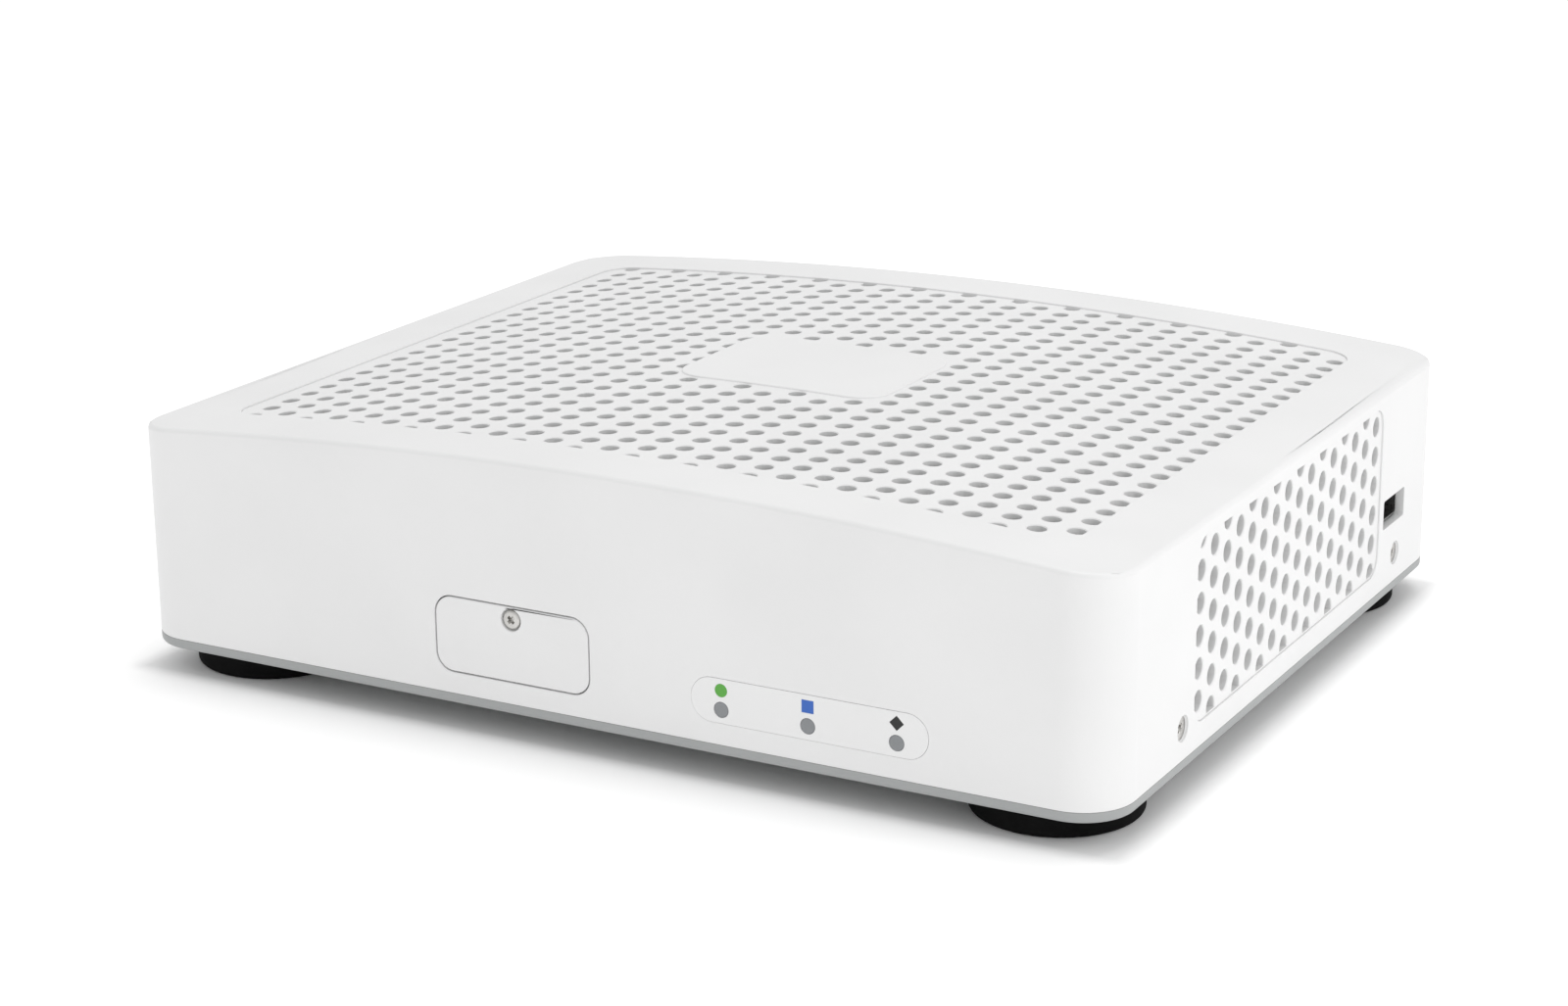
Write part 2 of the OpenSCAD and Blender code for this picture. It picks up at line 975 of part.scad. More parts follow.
module fibre_shutter() {
    barrel_r = 0.95;
    barrel_l = 8.8;
    flap_t = 0.5;
    drop = hinge_z - fibre_at[1] + fibre_size[2] / 2 - 0.3;
    color([0.15, 0.55, 0.3])
        difference() {
            union() {
                translate([fibre_at[0] - barrel_l / 2, hinge_y, hinge_z])
                    rotate([0, 90, 0])
                        cylinder(r = barrel_r, h = barrel_l);
                translate([fibre_at[0] - barrel_l / 2, hinge_y + barrel_r - flap_t, hinge_z - drop])
                    cube([barrel_l, flap_t, drop]);
                translate([fibre_at[0] - 6, hinge_y + barrel_r - flap_t, hinge_z - drop])
                    cube([12, flap_t, fibre_size[2] - 1]);
            }
            translate([fibre_at[0] - 8, hinge_y, hinge_z])
                rotate([0, 90, 0])
                    cylinder(r = hinge_r + 0.08, h = 16);
        }
}

// ---------- network and telephone sockets ----------

// Centre of socket number i in a row of sockets
function port_x(row_x, pitch, count, i) = row_x + (i - (count - 1) / 2) * pitch;

// Hollow of one socket: the plug's space, and the notch under it for the plug's latch
module socket_hollow(x, z, size, latch_w, latch_h) {
    translate([x - size[0] / 2, jack_face - size[1], z])
        cube([size[0], size[1] + 2, size[2]]);
    translate([x - latch_w / 2, jack_face - size[1] + 3, z - latch_h])
        cube([latch_w, size[1], latch_h + eps]);
}

// Spring wires that hang from a socket's ceiling: a sloping run and a foot at the back
module spring_wires(x, z_top, size, count, pitch) {
    wire = 0.4;
    rear = jack_face - size[1];
    front = jack_face - 1.5;
    fall = 2;
    for (i = [0:count - 1])
        translate([x + (i - (count - 1) / 2) * pitch + wire / 2, 0, 0])
            rotate([90, 0, -90])
                linear_extrude(wire)
                    polygon([[-front, z_top - 0.1], [-rear, z_top - fall - wire], [-rear, z_top - fall],
                        [-front + 4, z_top - 0.1]]);
}

module lan_jack_block() {
    color([0.08, 0.08, 0.08])
        difference() {
            translate([lan_x - lan_size[0] / 2, jack_face - lan_size[1], lan_z])
                cube(lan_size);
            for (i = [0:lan_ports - 1]) {
                x = port_x(lan_x, lan_pitch, lan_ports, i);
                socket_hollow(x, lan_open_z, rj_open, 6.2, 2);
                for (side = [-1, 1])
                    translate([x + side * 5 - 1.3, jack_face - 1, lan_open_z + rj_open[2] + 0.6])
                        cube([2.6, 2, 1.6]);
            }
        }
}

module lan_jack_shield() {
    sheet = 0.3;
    gap = 0.05;
    front = jack_face + sheet + gap;
    color("silver")
        difference() {
            translate([lan_x - lan_size[0] / 2 - gap - sheet, jack_face - lan_size[1], lan_z])
                cube([lan_size[0] + 2 * (gap + sheet), lan_size[1] + gap + sheet, lan_size[2] + gap + sheet]);
            translate([lan_x - lan_size[0] / 2 - gap, jack_face - lan_size[1] - 1, lan_z - 1])
                cube([lan_size[0] + 2 * gap, lan_size[1] + 1 + gap, lan_size[2] + 1 + gap]);
            for (i = [0:lan_ports - 1]) {
                x = port_x(lan_x, lan_pitch, lan_ports, i);
                socket_hollow(x, lan_open_z, rj_open, 6.2, 2);
                for (side = [-1, 1])
                    translate([x + side * 5 - 1.3, front - 1, lan_open_z + rj_open[2] + 0.6])
                        cube([2.6, 2, 1.6]);
            }
        }
}

module lan_jack_contacts() {
    color("gold")
        for (i = [0:lan_ports - 1])
            spring_wires(port_x(lan_x, lan_pitch, lan_ports, i), lan_open_z + rj_open[2], rj_open, 8, 1.02);
}

module phone_jack_block() {
    color([0.75, 0.75, 0.74])
        difference() {
            translate([phone_x - phone_size[0] / 2, jack_face - phone_size[1], board_top])
                cube(phone_size);
            for (i = [0, 1])
                socket_hollow(port_x(phone_x, phone_pitch, 2, i), phone_open_z, phone_open, 6, 1.6);
        }
}

module phone_jack_contacts() {
    color("gold")
        for (i = [0, 1])
            spring_wires(port_x(phone_x, phone_pitch, 2, i), phone_open_z + phone_open[2], phone_open, 4, 1.02);
}

// ---------- power ----------

module dc_jack() {
    width = 9.4;
    body_front = rear_face - rear_t - 0.3;
    body_back = 14;
    color([0.1, 0.1, 0.1])
        difference() {
            union() {
                translate([dc_at[0] - width / 2, body_front - body_back, board_top])
                    cube([width, body_back, dc_at[1] - board_top + width / 2]);
                on_rear(dc_at[0], rear_face + 0.6, dc_at[1])
                    sunk(3, 3)
                        circle(r = 4.3);
            }
            on_rear(dc_at[0], rear_face + 0.6, dc_at[1])
                sunk(10.5, 12)
                    circle(r = 3.2);
        }
}

module dc_jack_pin() {
    color("silver")
        on_rear(dc_at[0], rear_face - 0.6, dc_at[1]) {
            sunk(9.3, 8.6)
                circle(r = 1.05);
            translate([0, 0, -0.7 - eps])
                cylinder(r1 = 1.05, r2 = 0.6, h = 0.7);
        }
}

module power_switch() {
    width = 8.6;
    depth = 14;
    well = 3.6;
    well_depth = 9;
    color([0.1, 0.1, 0.1])
        difference() {
            translate([power_at[0] - width / 2, power_switch_y - depth, board_top])
                cube([width, depth, power_at[1] - board_top + width / 2]);
            translate([power_at[0] - well / 2, power_switch_y - well_depth, power_at[1] - well / 2])
                cube([well, depth, well]);
        }
}

module power_button() {
    cap_r = 3.9;
    stem = 3;
    stem_l = 14 - power_cap_l;
    color([0.85, 0.86, 0.86]) {
        translate([power_at[0], power_cap_y, power_at[1]])
            rotate([90, 0, 0])
                rotate_extrude()
                    polygon([[0, 0.3], [cap_r - 1, 0.3], [cap_r - 0.8, 0], [cap_r - 0.4, 0], [cap_r, 0.4],
                        [cap_r, power_cap_l], [0, power_cap_l]]);
        translate([power_at[0] - stem / 2, power_cap_y - power_cap_l - stem_l, power_at[1] - stem / 2])
            cube([stem, stem_l + eps, stem]);
    }
}

// ---------- rear panel ----------

module rear_panel() {
    width = 206;
    top = z_body + 32;
    tab = [16, 12];
    color([0.62, 0.63, 0.63])
        difference() {
            union() {
                translate([-width / 2, rear_face - rear_t, z_body])
                    cube([width, rear_t, top - z_body]);
                for (x = rear_tabs)
                    translate([x - tab[0] / 2, rear_face - tab[1], z_body])
                        cube([tab[0], tab[1], rear_t]);
            }
            for (x = rear_tabs)
                translate([x, rear_face - 6, z_body - 1])
                    cylinder(r = 1.7, h = rear_t + 2);
            translate([lan_x - lan_size[0] / 2 - 0.7, rear_face - rear_t - 1, lan_z - 0.1])
                cube([lan_size[0] + 1.4, rear_t + 2, lan_size[2] + 0.8]);
            translate([phone_x - phone_size[0] / 2 - 0.3, rear_face - rear_t - 1, board_top - 0.1])
                cube([phone_size[0] + 0.6, rear_t + 2, phone_size[2] + 0.4]);
            translate([fibre_at[0] - fibre_size[0] / 2 - 0.2, rear_face - rear_t - 1,
                fibre_at[1] - fibre_size[2] / 2 - 0.2])
                cube([fibre_size[0] + 0.4, rear_t + 2, fibre_size[2] + 0.4]);
            on_rear(dc_at[0], rear_face, dc_at[1])
                sunk(rear_t + 1, rear_t + 2)
                    circle(r = 4.5);
            on_rear(power_at[0], rear_face, power_at[1])
                sunk(rear_t + 1, rear_t + 2)
                    circle(r = 4.3);
            on_rear(ground_at[0], rear_face, ground_at[1])
                sunk(rear_t + 1, rear_t + 2)
                    circle(r = 1.7);
        }
}

module ground_screw() {
    color("gold")
        on_rear(ground_at[0], rear_face, ground_at[1])
            pan_screw(3, 1.9, 1.65, 5);
}

// ---------- USB socket ----------

module usb_board() {
    size = usb_board_to - usb_board_from;
    color([0.1, 0.4, 0.25])
        difference() {
            translate([usb_board_from[0], usb_board_from[1], usb_board_z])
                cube([size[0], size[1], board_t]);
            for (p = usb_posts)
                translate([p[0], p[1], 0])
                    cylinder(r = 1.3, h = z_eave);
        }
}

module usb_board_posts() {
    height = usb_board_z - z_body;
    color("goldenrod")
        for (p = usb_posts)
            translate([p[0], p[1], z_body])
                difference() {
                    cylinder(r = 2.6, h = height, $fn = 6);
                    translate([0, 0, height - 6])
                        cylinder(r = 1.1, h = 7);
                }
}

// The plug strip that joins the socket's board to the main board below it
module usb_board_header() {
    color([0.1, 0.1, 0.1])
        box_at([94.5, 72, board_top], [2.5, 15, usb_board_z - board_top]);
}

module usb_shell() {
    inner = [usb_size[0] - 2 * usb_wall, usb_size[1] - 2 * usb_wall];
    color("silver")
        translate([usb_face - half_w, 0, 0])
            on_right(usb_at[0], usb_at[1])
                difference() {
                    sunk(usb_size[2], usb_size[2])
                        square([usb_size[0], usb_size[1]], center = true);
                    sunk(usb_size[2] - usb_wall, usb_size[2])
                        square(inner, center = true);
                }
}

module usb_tongue() {
    color([0.05, 0.05, 0.05])
        translate([tongue_back, usb_at[0] - 5.6, tongue_z])
            cube([tongue_front - tongue_back, 11.2, 1.8]);
}

module usb_contacts() {
    color("silver")
        for (y = [-3.5, -1, 1, 3.5])
            translate([tongue_back, usb_at[0] + y - 0.5, tongue_z - 0.25])
                cube([tongue_front - tongue_back - 0.8, 1, 0.25]);
}

base_tray();
housing();
roof_vent_panel();
side_vent_left();
side_vent_right();
rear_panel();
housing_screws();
foot_front_left();
foot_front_right();
foot_rear_left();
foot_rear_right();
foot_screws();
service_cover();
service_cover_screw();
indicator_strip();
light_pipes();
status_circle();
status_square();
status_diamond();
front_board();
front_board_screws();
status_leds();
reset_switch();
reset_button();
service_header();
ribbon_cable();
ribbon_sockets();
main_board();
board_standoffs();
chassis_screws();
processor();
thermal_pad();
heatsink();
heatsink_pins();
memory_chips();
switch_chip();
lan_transformers();
capacitors();
inductors();
optical_transceiver();
fibre_adapter();
fibre_sleeve();
fibre_shutter();
fibre_shutter_pin();
lan_jack_block();
lan_jack_shield();
lan_jack_contacts();
phone_jack_block();
phone_jack_contacts();
dc_jack();
dc_jack_pin();
power_switch();
power_button();
ground_screw();
usb_board();
usb_board_posts();
usb_board_header();
usb_shell();
usb_tongue();
usb_contacts();
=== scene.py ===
# %% [markdown]
# # A desktop optical network terminal
# The object is a low white box that ends an optical fibre line on a desk. The sizes, the moving parts and
# the hidden boards come from a CAD model, which is loaded as a fixed frame. This lesson builds the looks on
# top of it: the casing that the eye falls on is modelled again with soft moulded edges, and every CAD part
# that stays gets a finish of its own.

# %% Load the frame
import json
import math

import bmesh
import bpy
from mathutils import Matrix, Vector


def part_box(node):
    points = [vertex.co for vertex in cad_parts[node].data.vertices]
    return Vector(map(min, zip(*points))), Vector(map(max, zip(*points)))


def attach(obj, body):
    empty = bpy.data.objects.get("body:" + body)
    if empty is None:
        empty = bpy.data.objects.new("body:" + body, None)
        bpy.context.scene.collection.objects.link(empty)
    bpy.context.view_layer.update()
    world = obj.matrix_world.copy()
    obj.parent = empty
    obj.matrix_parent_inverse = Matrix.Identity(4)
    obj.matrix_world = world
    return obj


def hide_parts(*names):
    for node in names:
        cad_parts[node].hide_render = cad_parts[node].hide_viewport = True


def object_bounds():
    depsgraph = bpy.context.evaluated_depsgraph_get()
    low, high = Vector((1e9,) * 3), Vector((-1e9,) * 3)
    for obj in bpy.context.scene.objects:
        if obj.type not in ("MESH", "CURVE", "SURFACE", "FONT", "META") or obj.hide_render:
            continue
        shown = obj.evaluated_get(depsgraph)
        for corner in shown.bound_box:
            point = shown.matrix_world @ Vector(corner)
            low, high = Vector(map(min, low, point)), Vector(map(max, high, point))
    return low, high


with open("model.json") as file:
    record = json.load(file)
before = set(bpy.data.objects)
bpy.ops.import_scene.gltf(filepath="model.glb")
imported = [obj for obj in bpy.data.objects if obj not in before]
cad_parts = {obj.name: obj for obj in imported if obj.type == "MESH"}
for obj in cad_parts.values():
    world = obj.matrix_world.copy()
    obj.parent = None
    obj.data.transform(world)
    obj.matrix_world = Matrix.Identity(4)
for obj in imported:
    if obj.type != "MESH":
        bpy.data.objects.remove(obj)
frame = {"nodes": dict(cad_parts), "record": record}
cad_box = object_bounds()
MM = 0.001
nodes = frame["nodes"]
body_of_node = {n: body for body, members in frame["record"]["behaviour"]["bodies"].items() for n in members}
slot_of_node = {row["node"]: row["material_slot"] for row in frame["record"]["subparts"]}
colour_of_slot = {row["slot"]: row["base_color"][:3] for row in frame["record"]["materials"]}
print(len(nodes), "CAD nodes, box", [[round(v, 4) for v in corner] for corner in cad_box])

# %% [markdown]
# ## Camera
# A product picture like this one is taken with a long lens from a step or two away, so that the box keeps
# its proportions. A camera could be dragged into place by eye. Here it is set from three angles and a
# distance, which can be read and changed one at a time.

# %% Camera from angles and a distance
def place_camera(turn, rise, lean, distance, lens, target):
    """Looks at the target from "turn" degrees right of the front and "rise" degrees up, tilted by "lean"."""
    turn, rise, lean = math.radians(turn), math.radians(rise), math.radians(lean)
    back = Vector((math.sin(turn) * math.cos(rise), -math.cos(turn) * math.cos(rise), math.sin(rise)))
    right = Vector((math.cos(turn), math.sin(turn), 0))
    up = back.cross(right)
    right, up = right * math.cos(lean) + up * math.sin(lean), up * math.cos(lean) - right * math.sin(lean)
    data = bpy.data.cameras.new("camera")
    data.sensor_width = 36
    data.lens = lens
    camera = bpy.data.objects.new("camera", data)
    bpy.context.scene.collection.objects.link(camera)
    turned = Matrix((right, up, back)).transposed().to_4x4()
    camera.matrix_world = Matrix.Translation(Vector(target) + back * distance) @ turned
    bpy.context.scene.camera = camera
    return camera


camera = place_camera(turn=29.07, rise=17.05, lean=-0.5, distance=0.7892, lens=74.9,
                      target=(-0.0067, 0, 0.0296))
print("camera at", [round(v, 3) for v in camera.location])

# %% [markdown]
# ## Floor and light
# White plastic on a white table needs light from all round, so that no wall goes grey, and one broad lamp
# from the right that tells the side from the front. A white world does the first, and large area lamps the
# second. Small lamps would give hard shadows and hot spots on the roof.
#
# The floor glows faintly: painted light that lifts it to white. The glow is left out under the box, which
# paints a dark contact shadow there. Its nodes measure how far a point lies outside the box's rectangle and
# fade the glow in over the first few millimetres.

# %% Floor
WHITE = (1, 1, 1, 1)
FLOOR_SIZE, FLOOR_GLOW = 12, 0.22
GLOW_FADE = 5 * MM
SHADED_HALF_DEPTH = 98.4
shaded_half = (cad_box[1][0], SHADED_HALF_DEPTH * MM, 0)


def floor_with_painted_glow(name, colour, roughness, glow):
    """A matt floor with painted glow everywhere except under the box, where the missing glow paints a dark
    shadow.
    """
    material = bpy.data.materials.new(name)
    material.use_nodes = True
    tree = material.node_tree
    shader = tree.nodes["Principled BSDF"]
    shader.inputs["Base Color"].default_value = (*colour, 1)
    shader.inputs["Roughness"].default_value = roughness
    # Painted light: the floor emits white, which also lifts the box's lower walls.
    shader.inputs["Emission Color"].default_value = WHITE
    outside = tree.nodes.new("ShaderNodeTexCoord").outputs["Object"]
    steps = (("ABSOLUTE", None), ("SUBTRACT", shaded_half), ("MAXIMUM", (0, 0, 0)), ("LENGTH", None))
    for operation, operand in steps:
        step = tree.nodes.new("ShaderNodeVectorMath")
        step.operation = operation
        tree.links.new(outside, step.inputs[0])
        if operand:
            step.inputs[1].default_value = operand
        outside = step.outputs["Value" if operation == "LENGTH" else "Vector"]
    # Painted shadow: no glow inside the box's rectangle, fading up to full glow over GLOW_FADE outside it.
    ranger = tree.nodes.new("ShaderNodeMapRange")
    ranger.inputs["From Max"].default_value = GLOW_FADE
    ranger.inputs["To Max"].default_value = glow
    tree.links.new(outside, ranger.inputs["Value"])
    tree.links.new(ranger.outputs["Result"], shader.inputs["Emission Strength"])
    return material


bpy.ops.object.select_all(action="DESELECT")
bpy.ops.mesh.primitive_plane_add(size=FLOOR_SIZE, location=(0, 0, 0))
floor = bpy.context.object
floor.name = "floor"
floor.data.materials.append(floor_with_painted_glow("pale_floor", (0.93, 0.93, 0.93), 0.7, FLOOR_GLOW))

# %% Lamps
def area_lamp(name, place, target, size, power):
    """A round lamp of the given diameter in metres and power in watts, aimed at the target."""
    data = bpy.data.lights.new(name, "AREA")
    data.shape = "DISK"
    data.size = size
    data.energy = power
    lamp = bpy.data.objects.new(name, data)
    bpy.context.scene.collection.objects.link(lamp)
    aim = Vector(target) - Vector(place)
    lamp.matrix_world = Matrix.Translation(place) @ aim.to_track_quat("-Z", "Y").to_matrix().to_4x4()
    return lamp


WORLD_STRENGTH = 0.82
world = bpy.data.worlds.new("studio")
bpy.context.scene.world = world
world.use_nodes = True
world.node_tree.nodes["Background"].inputs["Color"].default_value = WHITE
world.node_tree.nodes["Background"].inputs["Strength"].default_value = WORLD_STRENGTH
area_lamp("key_lamp", (0.5, -0.12, 0.28), (0.1, -0.1, 0.03), 0.3, 0.4)
area_lamp("roof_lamp", (0.1, 0.4, 1.5), (0, 0, 0.03), 1.0, 5.2)
bpy.context.scene.view_settings.view_transform = "Standard"

# %% [markdown]
# ## Finishes
# Every finish is made of nodes that read Object coordinates, so a pattern stays in the piece when it moves.
# An image texture could hold more detail, but noise has no seams and can be tuned in millimetres.

# %% Helpers for node materials
def new_material(name):
    """An empty node material with its shader, and Object coordinates to read from."""
    material = bpy.data.materials.new(name)
    material.use_nodes = True
    tree = material.node_tree
    shader = tree.nodes["Principled BSDF"]
    place = tree.nodes.new("ShaderNodeTexCoord").outputs["Object"]
    return material, tree, shader, place


def noise(tree, place, grain_mm, detail=2.0, stretch=(1, 1, 1)):
    """A noise whose lumps are about grain_mm across, as a factor from 0 to 1."""
    mapping = tree.nodes.new("ShaderNodeMapping")
    mapping.inputs["Scale"].default_value = stretch
    texture = tree.nodes.new("ShaderNodeTexNoise")
    texture.inputs["Scale"].default_value = 1 / (grain_mm * MM)
    texture.inputs["Detail"].default_value = detail
    tree.links.new(place, mapping.inputs["Vector"])
    tree.links.new(mapping.outputs["Vector"], texture.inputs["Vector"])
    return texture.outputs["Fac"]


def spread(tree, factor, low, high, start=0.3, end=0.7):
    """Turns a noise factor into a number between low and high."""
    ranger = tree.nodes.new("ShaderNodeMapRange")
    ranger.inputs["From Min"].default_value = start
    ranger.inputs["From Max"].default_value = end
    ranger.inputs["To Min"].default_value = low
    ranger.inputs["To Max"].default_value = high
    tree.links.new(factor, ranger.inputs["Value"])
    return ranger.outputs["Result"]


def two_tones(tree, factor, dark, light):
    """A colour that goes from dark to light with a noise factor."""
    ramp = tree.nodes.new("ShaderNodeValToRGB")
    ramp.color_ramp.elements[0].position = 0.35
    ramp.color_ramp.elements[1].position = 0.65
    ramp.color_ramp.elements[0].color = (*dark, 1)
    ramp.color_ramp.elements[1].color = (*light, 1)
    tree.links.new(factor, ramp.inputs["Fac"])
    return ramp.outputs["Color"]


def relief(tree, shader, height, depth_mm):
    """Raises or sinks the surface's shading by a height factor."""
    bump = tree.nodes.new("ShaderNodeBump")
    bump.inputs["Distance"].default_value = depth_mm * MM
    bump.inputs["Strength"].default_value = 1.0
    tree.links.new(height, bump.inputs["Height"])
    tree.links.new(bump.outputs["Normal"], shader.inputs["Normal"])


def shade(colour, amount):
    """The colour made darker, or lighter when the amount is above 1."""
    return tuple(max(0.0, min(1.0, c * amount)) for c in colour)


# %% [markdown]
# The casing is injection-moulded plastic from a tool with a fine spark-eroded skin. It reads as a faint
# grain in the highlights, a soft gloss, and almost no change of colour.

# %% Moulded plastic
def moulded_plastic(name, colour, roughness=0.45, grain_mm=0.35, depth_mm=0.012, drift=0.03):
    """Plastic with a fine grain, whose colour drifts a little over a few centimetres."""
    material, tree, shader, place = new_material(name)
    cloudy = noise(tree, place, 38)
    grain = noise(tree, place, grain_mm, detail=3)
    tree.links.new(two_tones(tree, cloudy, shade(colour, 1 - drift), colour), shader.inputs["Base Color"])
    tree.links.new(spread(tree, grain, roughness - 0.06, roughness + 0.06), shader.inputs["Roughness"])
    relief(tree, shader, grain, depth_mm)
    return material


# %% Metals, inks, boards and rubber
def turned_metal(name, colour, roughness=0.3, grain_mm=0.5, stretch=(1, 1, 1)):
    """Bare metal with tool marks and faint stains."""
    material, tree, shader, place = new_material(name)
    shader.inputs["Metallic"].default_value = 1.0
    streaks = noise(tree, place, grain_mm, detail=4, stretch=stretch)
    stains = noise(tree, place, 4)
    tree.links.new(two_tones(tree, stains, shade(colour, 0.82), colour), shader.inputs["Base Color"])
    tree.links.new(spread(tree, streaks, roughness - 0.1, roughness + 0.12), shader.inputs["Roughness"])
    relief(tree, shader, streaks, 0.01)
    return material


def printed_ink(name, colour):
    """A thin, slightly blotched layer of ink."""
    material, tree, shader, place = new_material(name)
    blotches = noise(tree, place, 0.25, detail=3)
    tree.links.new(two_tones(tree, blotches, shade(colour, 0.88), colour), shader.inputs["Base Color"])
    tree.links.new(spread(tree, blotches, 0.32, 0.48), shader.inputs["Roughness"])
    relief(tree, shader, blotches, 0.004)
    return material


def soft_rubber(name, colour):
    """Dull rubber with fine pores and a little dust."""
    material, tree, shader, place = new_material(name)
    dust = noise(tree, place, 5, detail=4)
    pores = noise(tree, place, 0.4, detail=3)
    tree.links.new(two_tones(tree, dust, colour, shade(colour, 1.9)), shader.inputs["Base Color"])
    tree.links.new(spread(tree, dust, 0.7, 0.9), shader.inputs["Roughness"])
    shader.inputs["Specular IOR Level"].default_value = 0.07
    relief(tree, shader, pores, 0.03)
    return material


def circuit_board(name, colour):
    """Lacquer over copper tracks: the tracks are the borders of blocky cells."""
    material, tree, shader, place = new_material(name)
    cells = tree.nodes.new("ShaderNodeTexVoronoi")
    cells.distance = "CHEBYCHEV"
    cells.feature = "F1"
    cells.inputs["Scale"].default_value = 1 / (3.2 * MM)
    tree.links.new(place, cells.inputs["Vector"])
    tracks = spread(tree, cells.outputs["Distance"], 0, 1, 0.34, 0.38)
    lacquer = two_tones(tree, tracks, shade(colour, 0.6), shade(colour, 1.5))
    tree.links.new(lacquer, shader.inputs["Base Color"])
    shader.inputs["Roughness"].default_value = 0.28
    relief(tree, shader, tracks, 0.03)
    return material


# %% [markdown]
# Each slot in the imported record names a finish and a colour. The table below says which recipe each slot
# uses, so a CAD part that stays is painted by its slot, and a new piece asks for the same slot by name.

# %% One material for each slot
def finish_for(slot):
    """The material of a slot; slots without a recipe of their own are plain moulded plastic."""
    colour = colour_of_slot[slot]
    recipes = {
        "housing_white": lambda: moulded_plastic(slot, (0.8, 0.8, 0.8), 0.4),
        "strip_white": lambda: moulded_plastic(slot, (0.81, 0.81, 0.81), 0.34, 0.25, 0.004, 0.015),
        "tray_grey": lambda: moulded_plastic(slot, colour, 0.5),
        "panel_grey": lambda: moulded_plastic(slot, colour, 0.48, 0.6, 0.02, 0.06),
        "foot_rubber": lambda: soft_rubber(slot, (0.004, 0.004, 0.004)),
        "screw_steel": lambda: turned_metal(slot, colour, 0.32),
        "shield_steel": lambda: turned_metal(slot, shade(colour, 0.6), 0.32, 0.6, (1, 6, 1)),
        "brass": lambda: turned_metal(slot, colour, 0.3),
        "contact_gold": lambda: turned_metal(slot, colour, 0.22),
        "sink_black": lambda: turned_metal(slot, colour, 0.5, 0.4, (1, 8, 1)),
        "mark_green": lambda: printed_ink(slot, colour),
        "mark_blue": lambda: printed_ink(slot, colour),
        "mark_black": lambda: printed_ink(slot, colour),
        "board_green": lambda: circuit_board(slot, colour),
        "pad_blue": lambda: soft_rubber(slot, colour),
    }
    return recipes.get(slot, lambda: moulded_plastic(slot, colour, 0.4, 0.3, 0.01, 0.08))()


finishes = {slot: finish_for(slot) for slot in colour_of_slot}
for name, node in nodes.items():
    node.data.materials.clear()
    node.data.materials.append(finishes[slot_of_node[name]])
print(len(finishes), "finishes")

# %% [markdown]
# ## Tools for modelling
# Every new piece starts as a cube or a rod at its own size and place, and is shaped with the operators that
# the menus offer. Operators act on what is selected, so the helpers below select first: one object, or the
# faces and edges that pass a test.

# %% Select one object, or parts of its mesh
def mm(*values):
    """A place or a size given in millimetres, in metres."""
    return Vector([value * MM for value in values])


def only(piece):
    """Makes the piece the one selected object, in object mode."""
    if bpy.context.mode != "OBJECT":
        bpy.ops.object.mode_set(mode="OBJECT")
    bpy.ops.object.select_all(action="DESELECT")
    piece.select_set(True)
    bpy.context.view_layer.objects.active = piece


def pick(piece, kind, test):
    """Opens the piece in edit mode with only the parts that pass the test selected."""
    only(piece)
    bpy.ops.object.mode_set(mode="EDIT")
    bpy.ops.mesh.select_mode(type=kind)
    bpy.ops.mesh.select_all(action="DESELECT")
    mesh = bmesh.from_edit_mesh(piece.data)
    for part in {"VERT": mesh.verts, "EDGE": mesh.edges, "FACE": mesh.faces}[kind]:
        if test(part):
            part.select_set(True)
    mesh.select_flush_mode()
    bmesh.update_edit_mesh(piece.data)


def leave_edit():
    """Goes back to object mode."""
    bpy.ops.object.mode_set(mode="OBJECT")


# %% Blocks and rods
AXES = {"X": 0, "Y": 1, "Z": 2}


def named(name):
    """Takes the object that was just added, names it and bakes its place and size into its mesh."""
    piece = bpy.context.object
    piece.name = name
    bpy.ops.object.transform_apply(location=True, rotation=True, scale=True)
    return piece


def block(name, low, high):
    """A box between two corners."""
    low, high = Vector(low), Vector(high)
    bpy.ops.object.select_all(action="DESELECT")
    bpy.ops.mesh.primitive_cube_add(size=1, location=(low + high) / 2, scale=high - low)
    return named(name)


def rounded_block(name, low, high, radius, axis, segments=8):
    """A box whose four edges along one axis are rounded."""
    piece = block(name, low, high)
    i = AXES[axis]
    pick(piece, "EDGE", lambda e: abs(e.verts[0].co[i] - e.verts[1].co[i]) > 1e-6)
    bpy.ops.mesh.bevel(offset=radius, offset_type="OFFSET", segments=segments, affect="EDGES")
    leave_edit()
    return piece


def rod(name, start, end, radius, sides=32, end_radius=None):
    """A round rod from one point to another, or a cone when it ends at another radius."""
    start, end = Vector(start), Vector(end)
    run = end - start
    place = {"vertices": sides, "depth": run.length, "location": (start + end) / 2,
             "rotation": run.to_track_quat("Z", "Y").to_euler()}
    bpy.ops.object.select_all(action="DESELECT")
    if end_radius is None:
        bpy.ops.mesh.primitive_cylinder_add(radius=radius, **place)
    else:
        bpy.ops.mesh.primitive_cone_add(radius1=radius, radius2=end_radius, **place)
    return named(name)


# %% Joining, cutting and softening
def combine(piece, tool, operation="DIFFERENCE", solver="EXACT"):
    """Cuts the tool out of the piece, or unites or intersects them, and uses the tool up."""
    only(piece)
    modifier = piece.modifiers.new("combine", "BOOLEAN")
    modifier.operation = operation
    modifier.solver = solver
    modifier.object = tool
    bpy.ops.object.modifier_apply(modifier=modifier.name)
    bpy.data.objects.remove(tool, do_unlink=True)
    return piece


def soften(piece, width_mm, segments=2, angle=35):
    """Rounds every edge that is sharper than the angle."""
    only(piece)
    modifier = piece.modifiers.new("soften", "BEVEL")
    modifier.width = width_mm * MM
    modifier.segments = segments
    modifier.limit_method = "ANGLE"
    modifier.angle_limit = math.radians(angle)
    modifier.use_clamp_overlap = False
    bpy.ops.object.modifier_apply(modifier=modifier.name)
    return piece


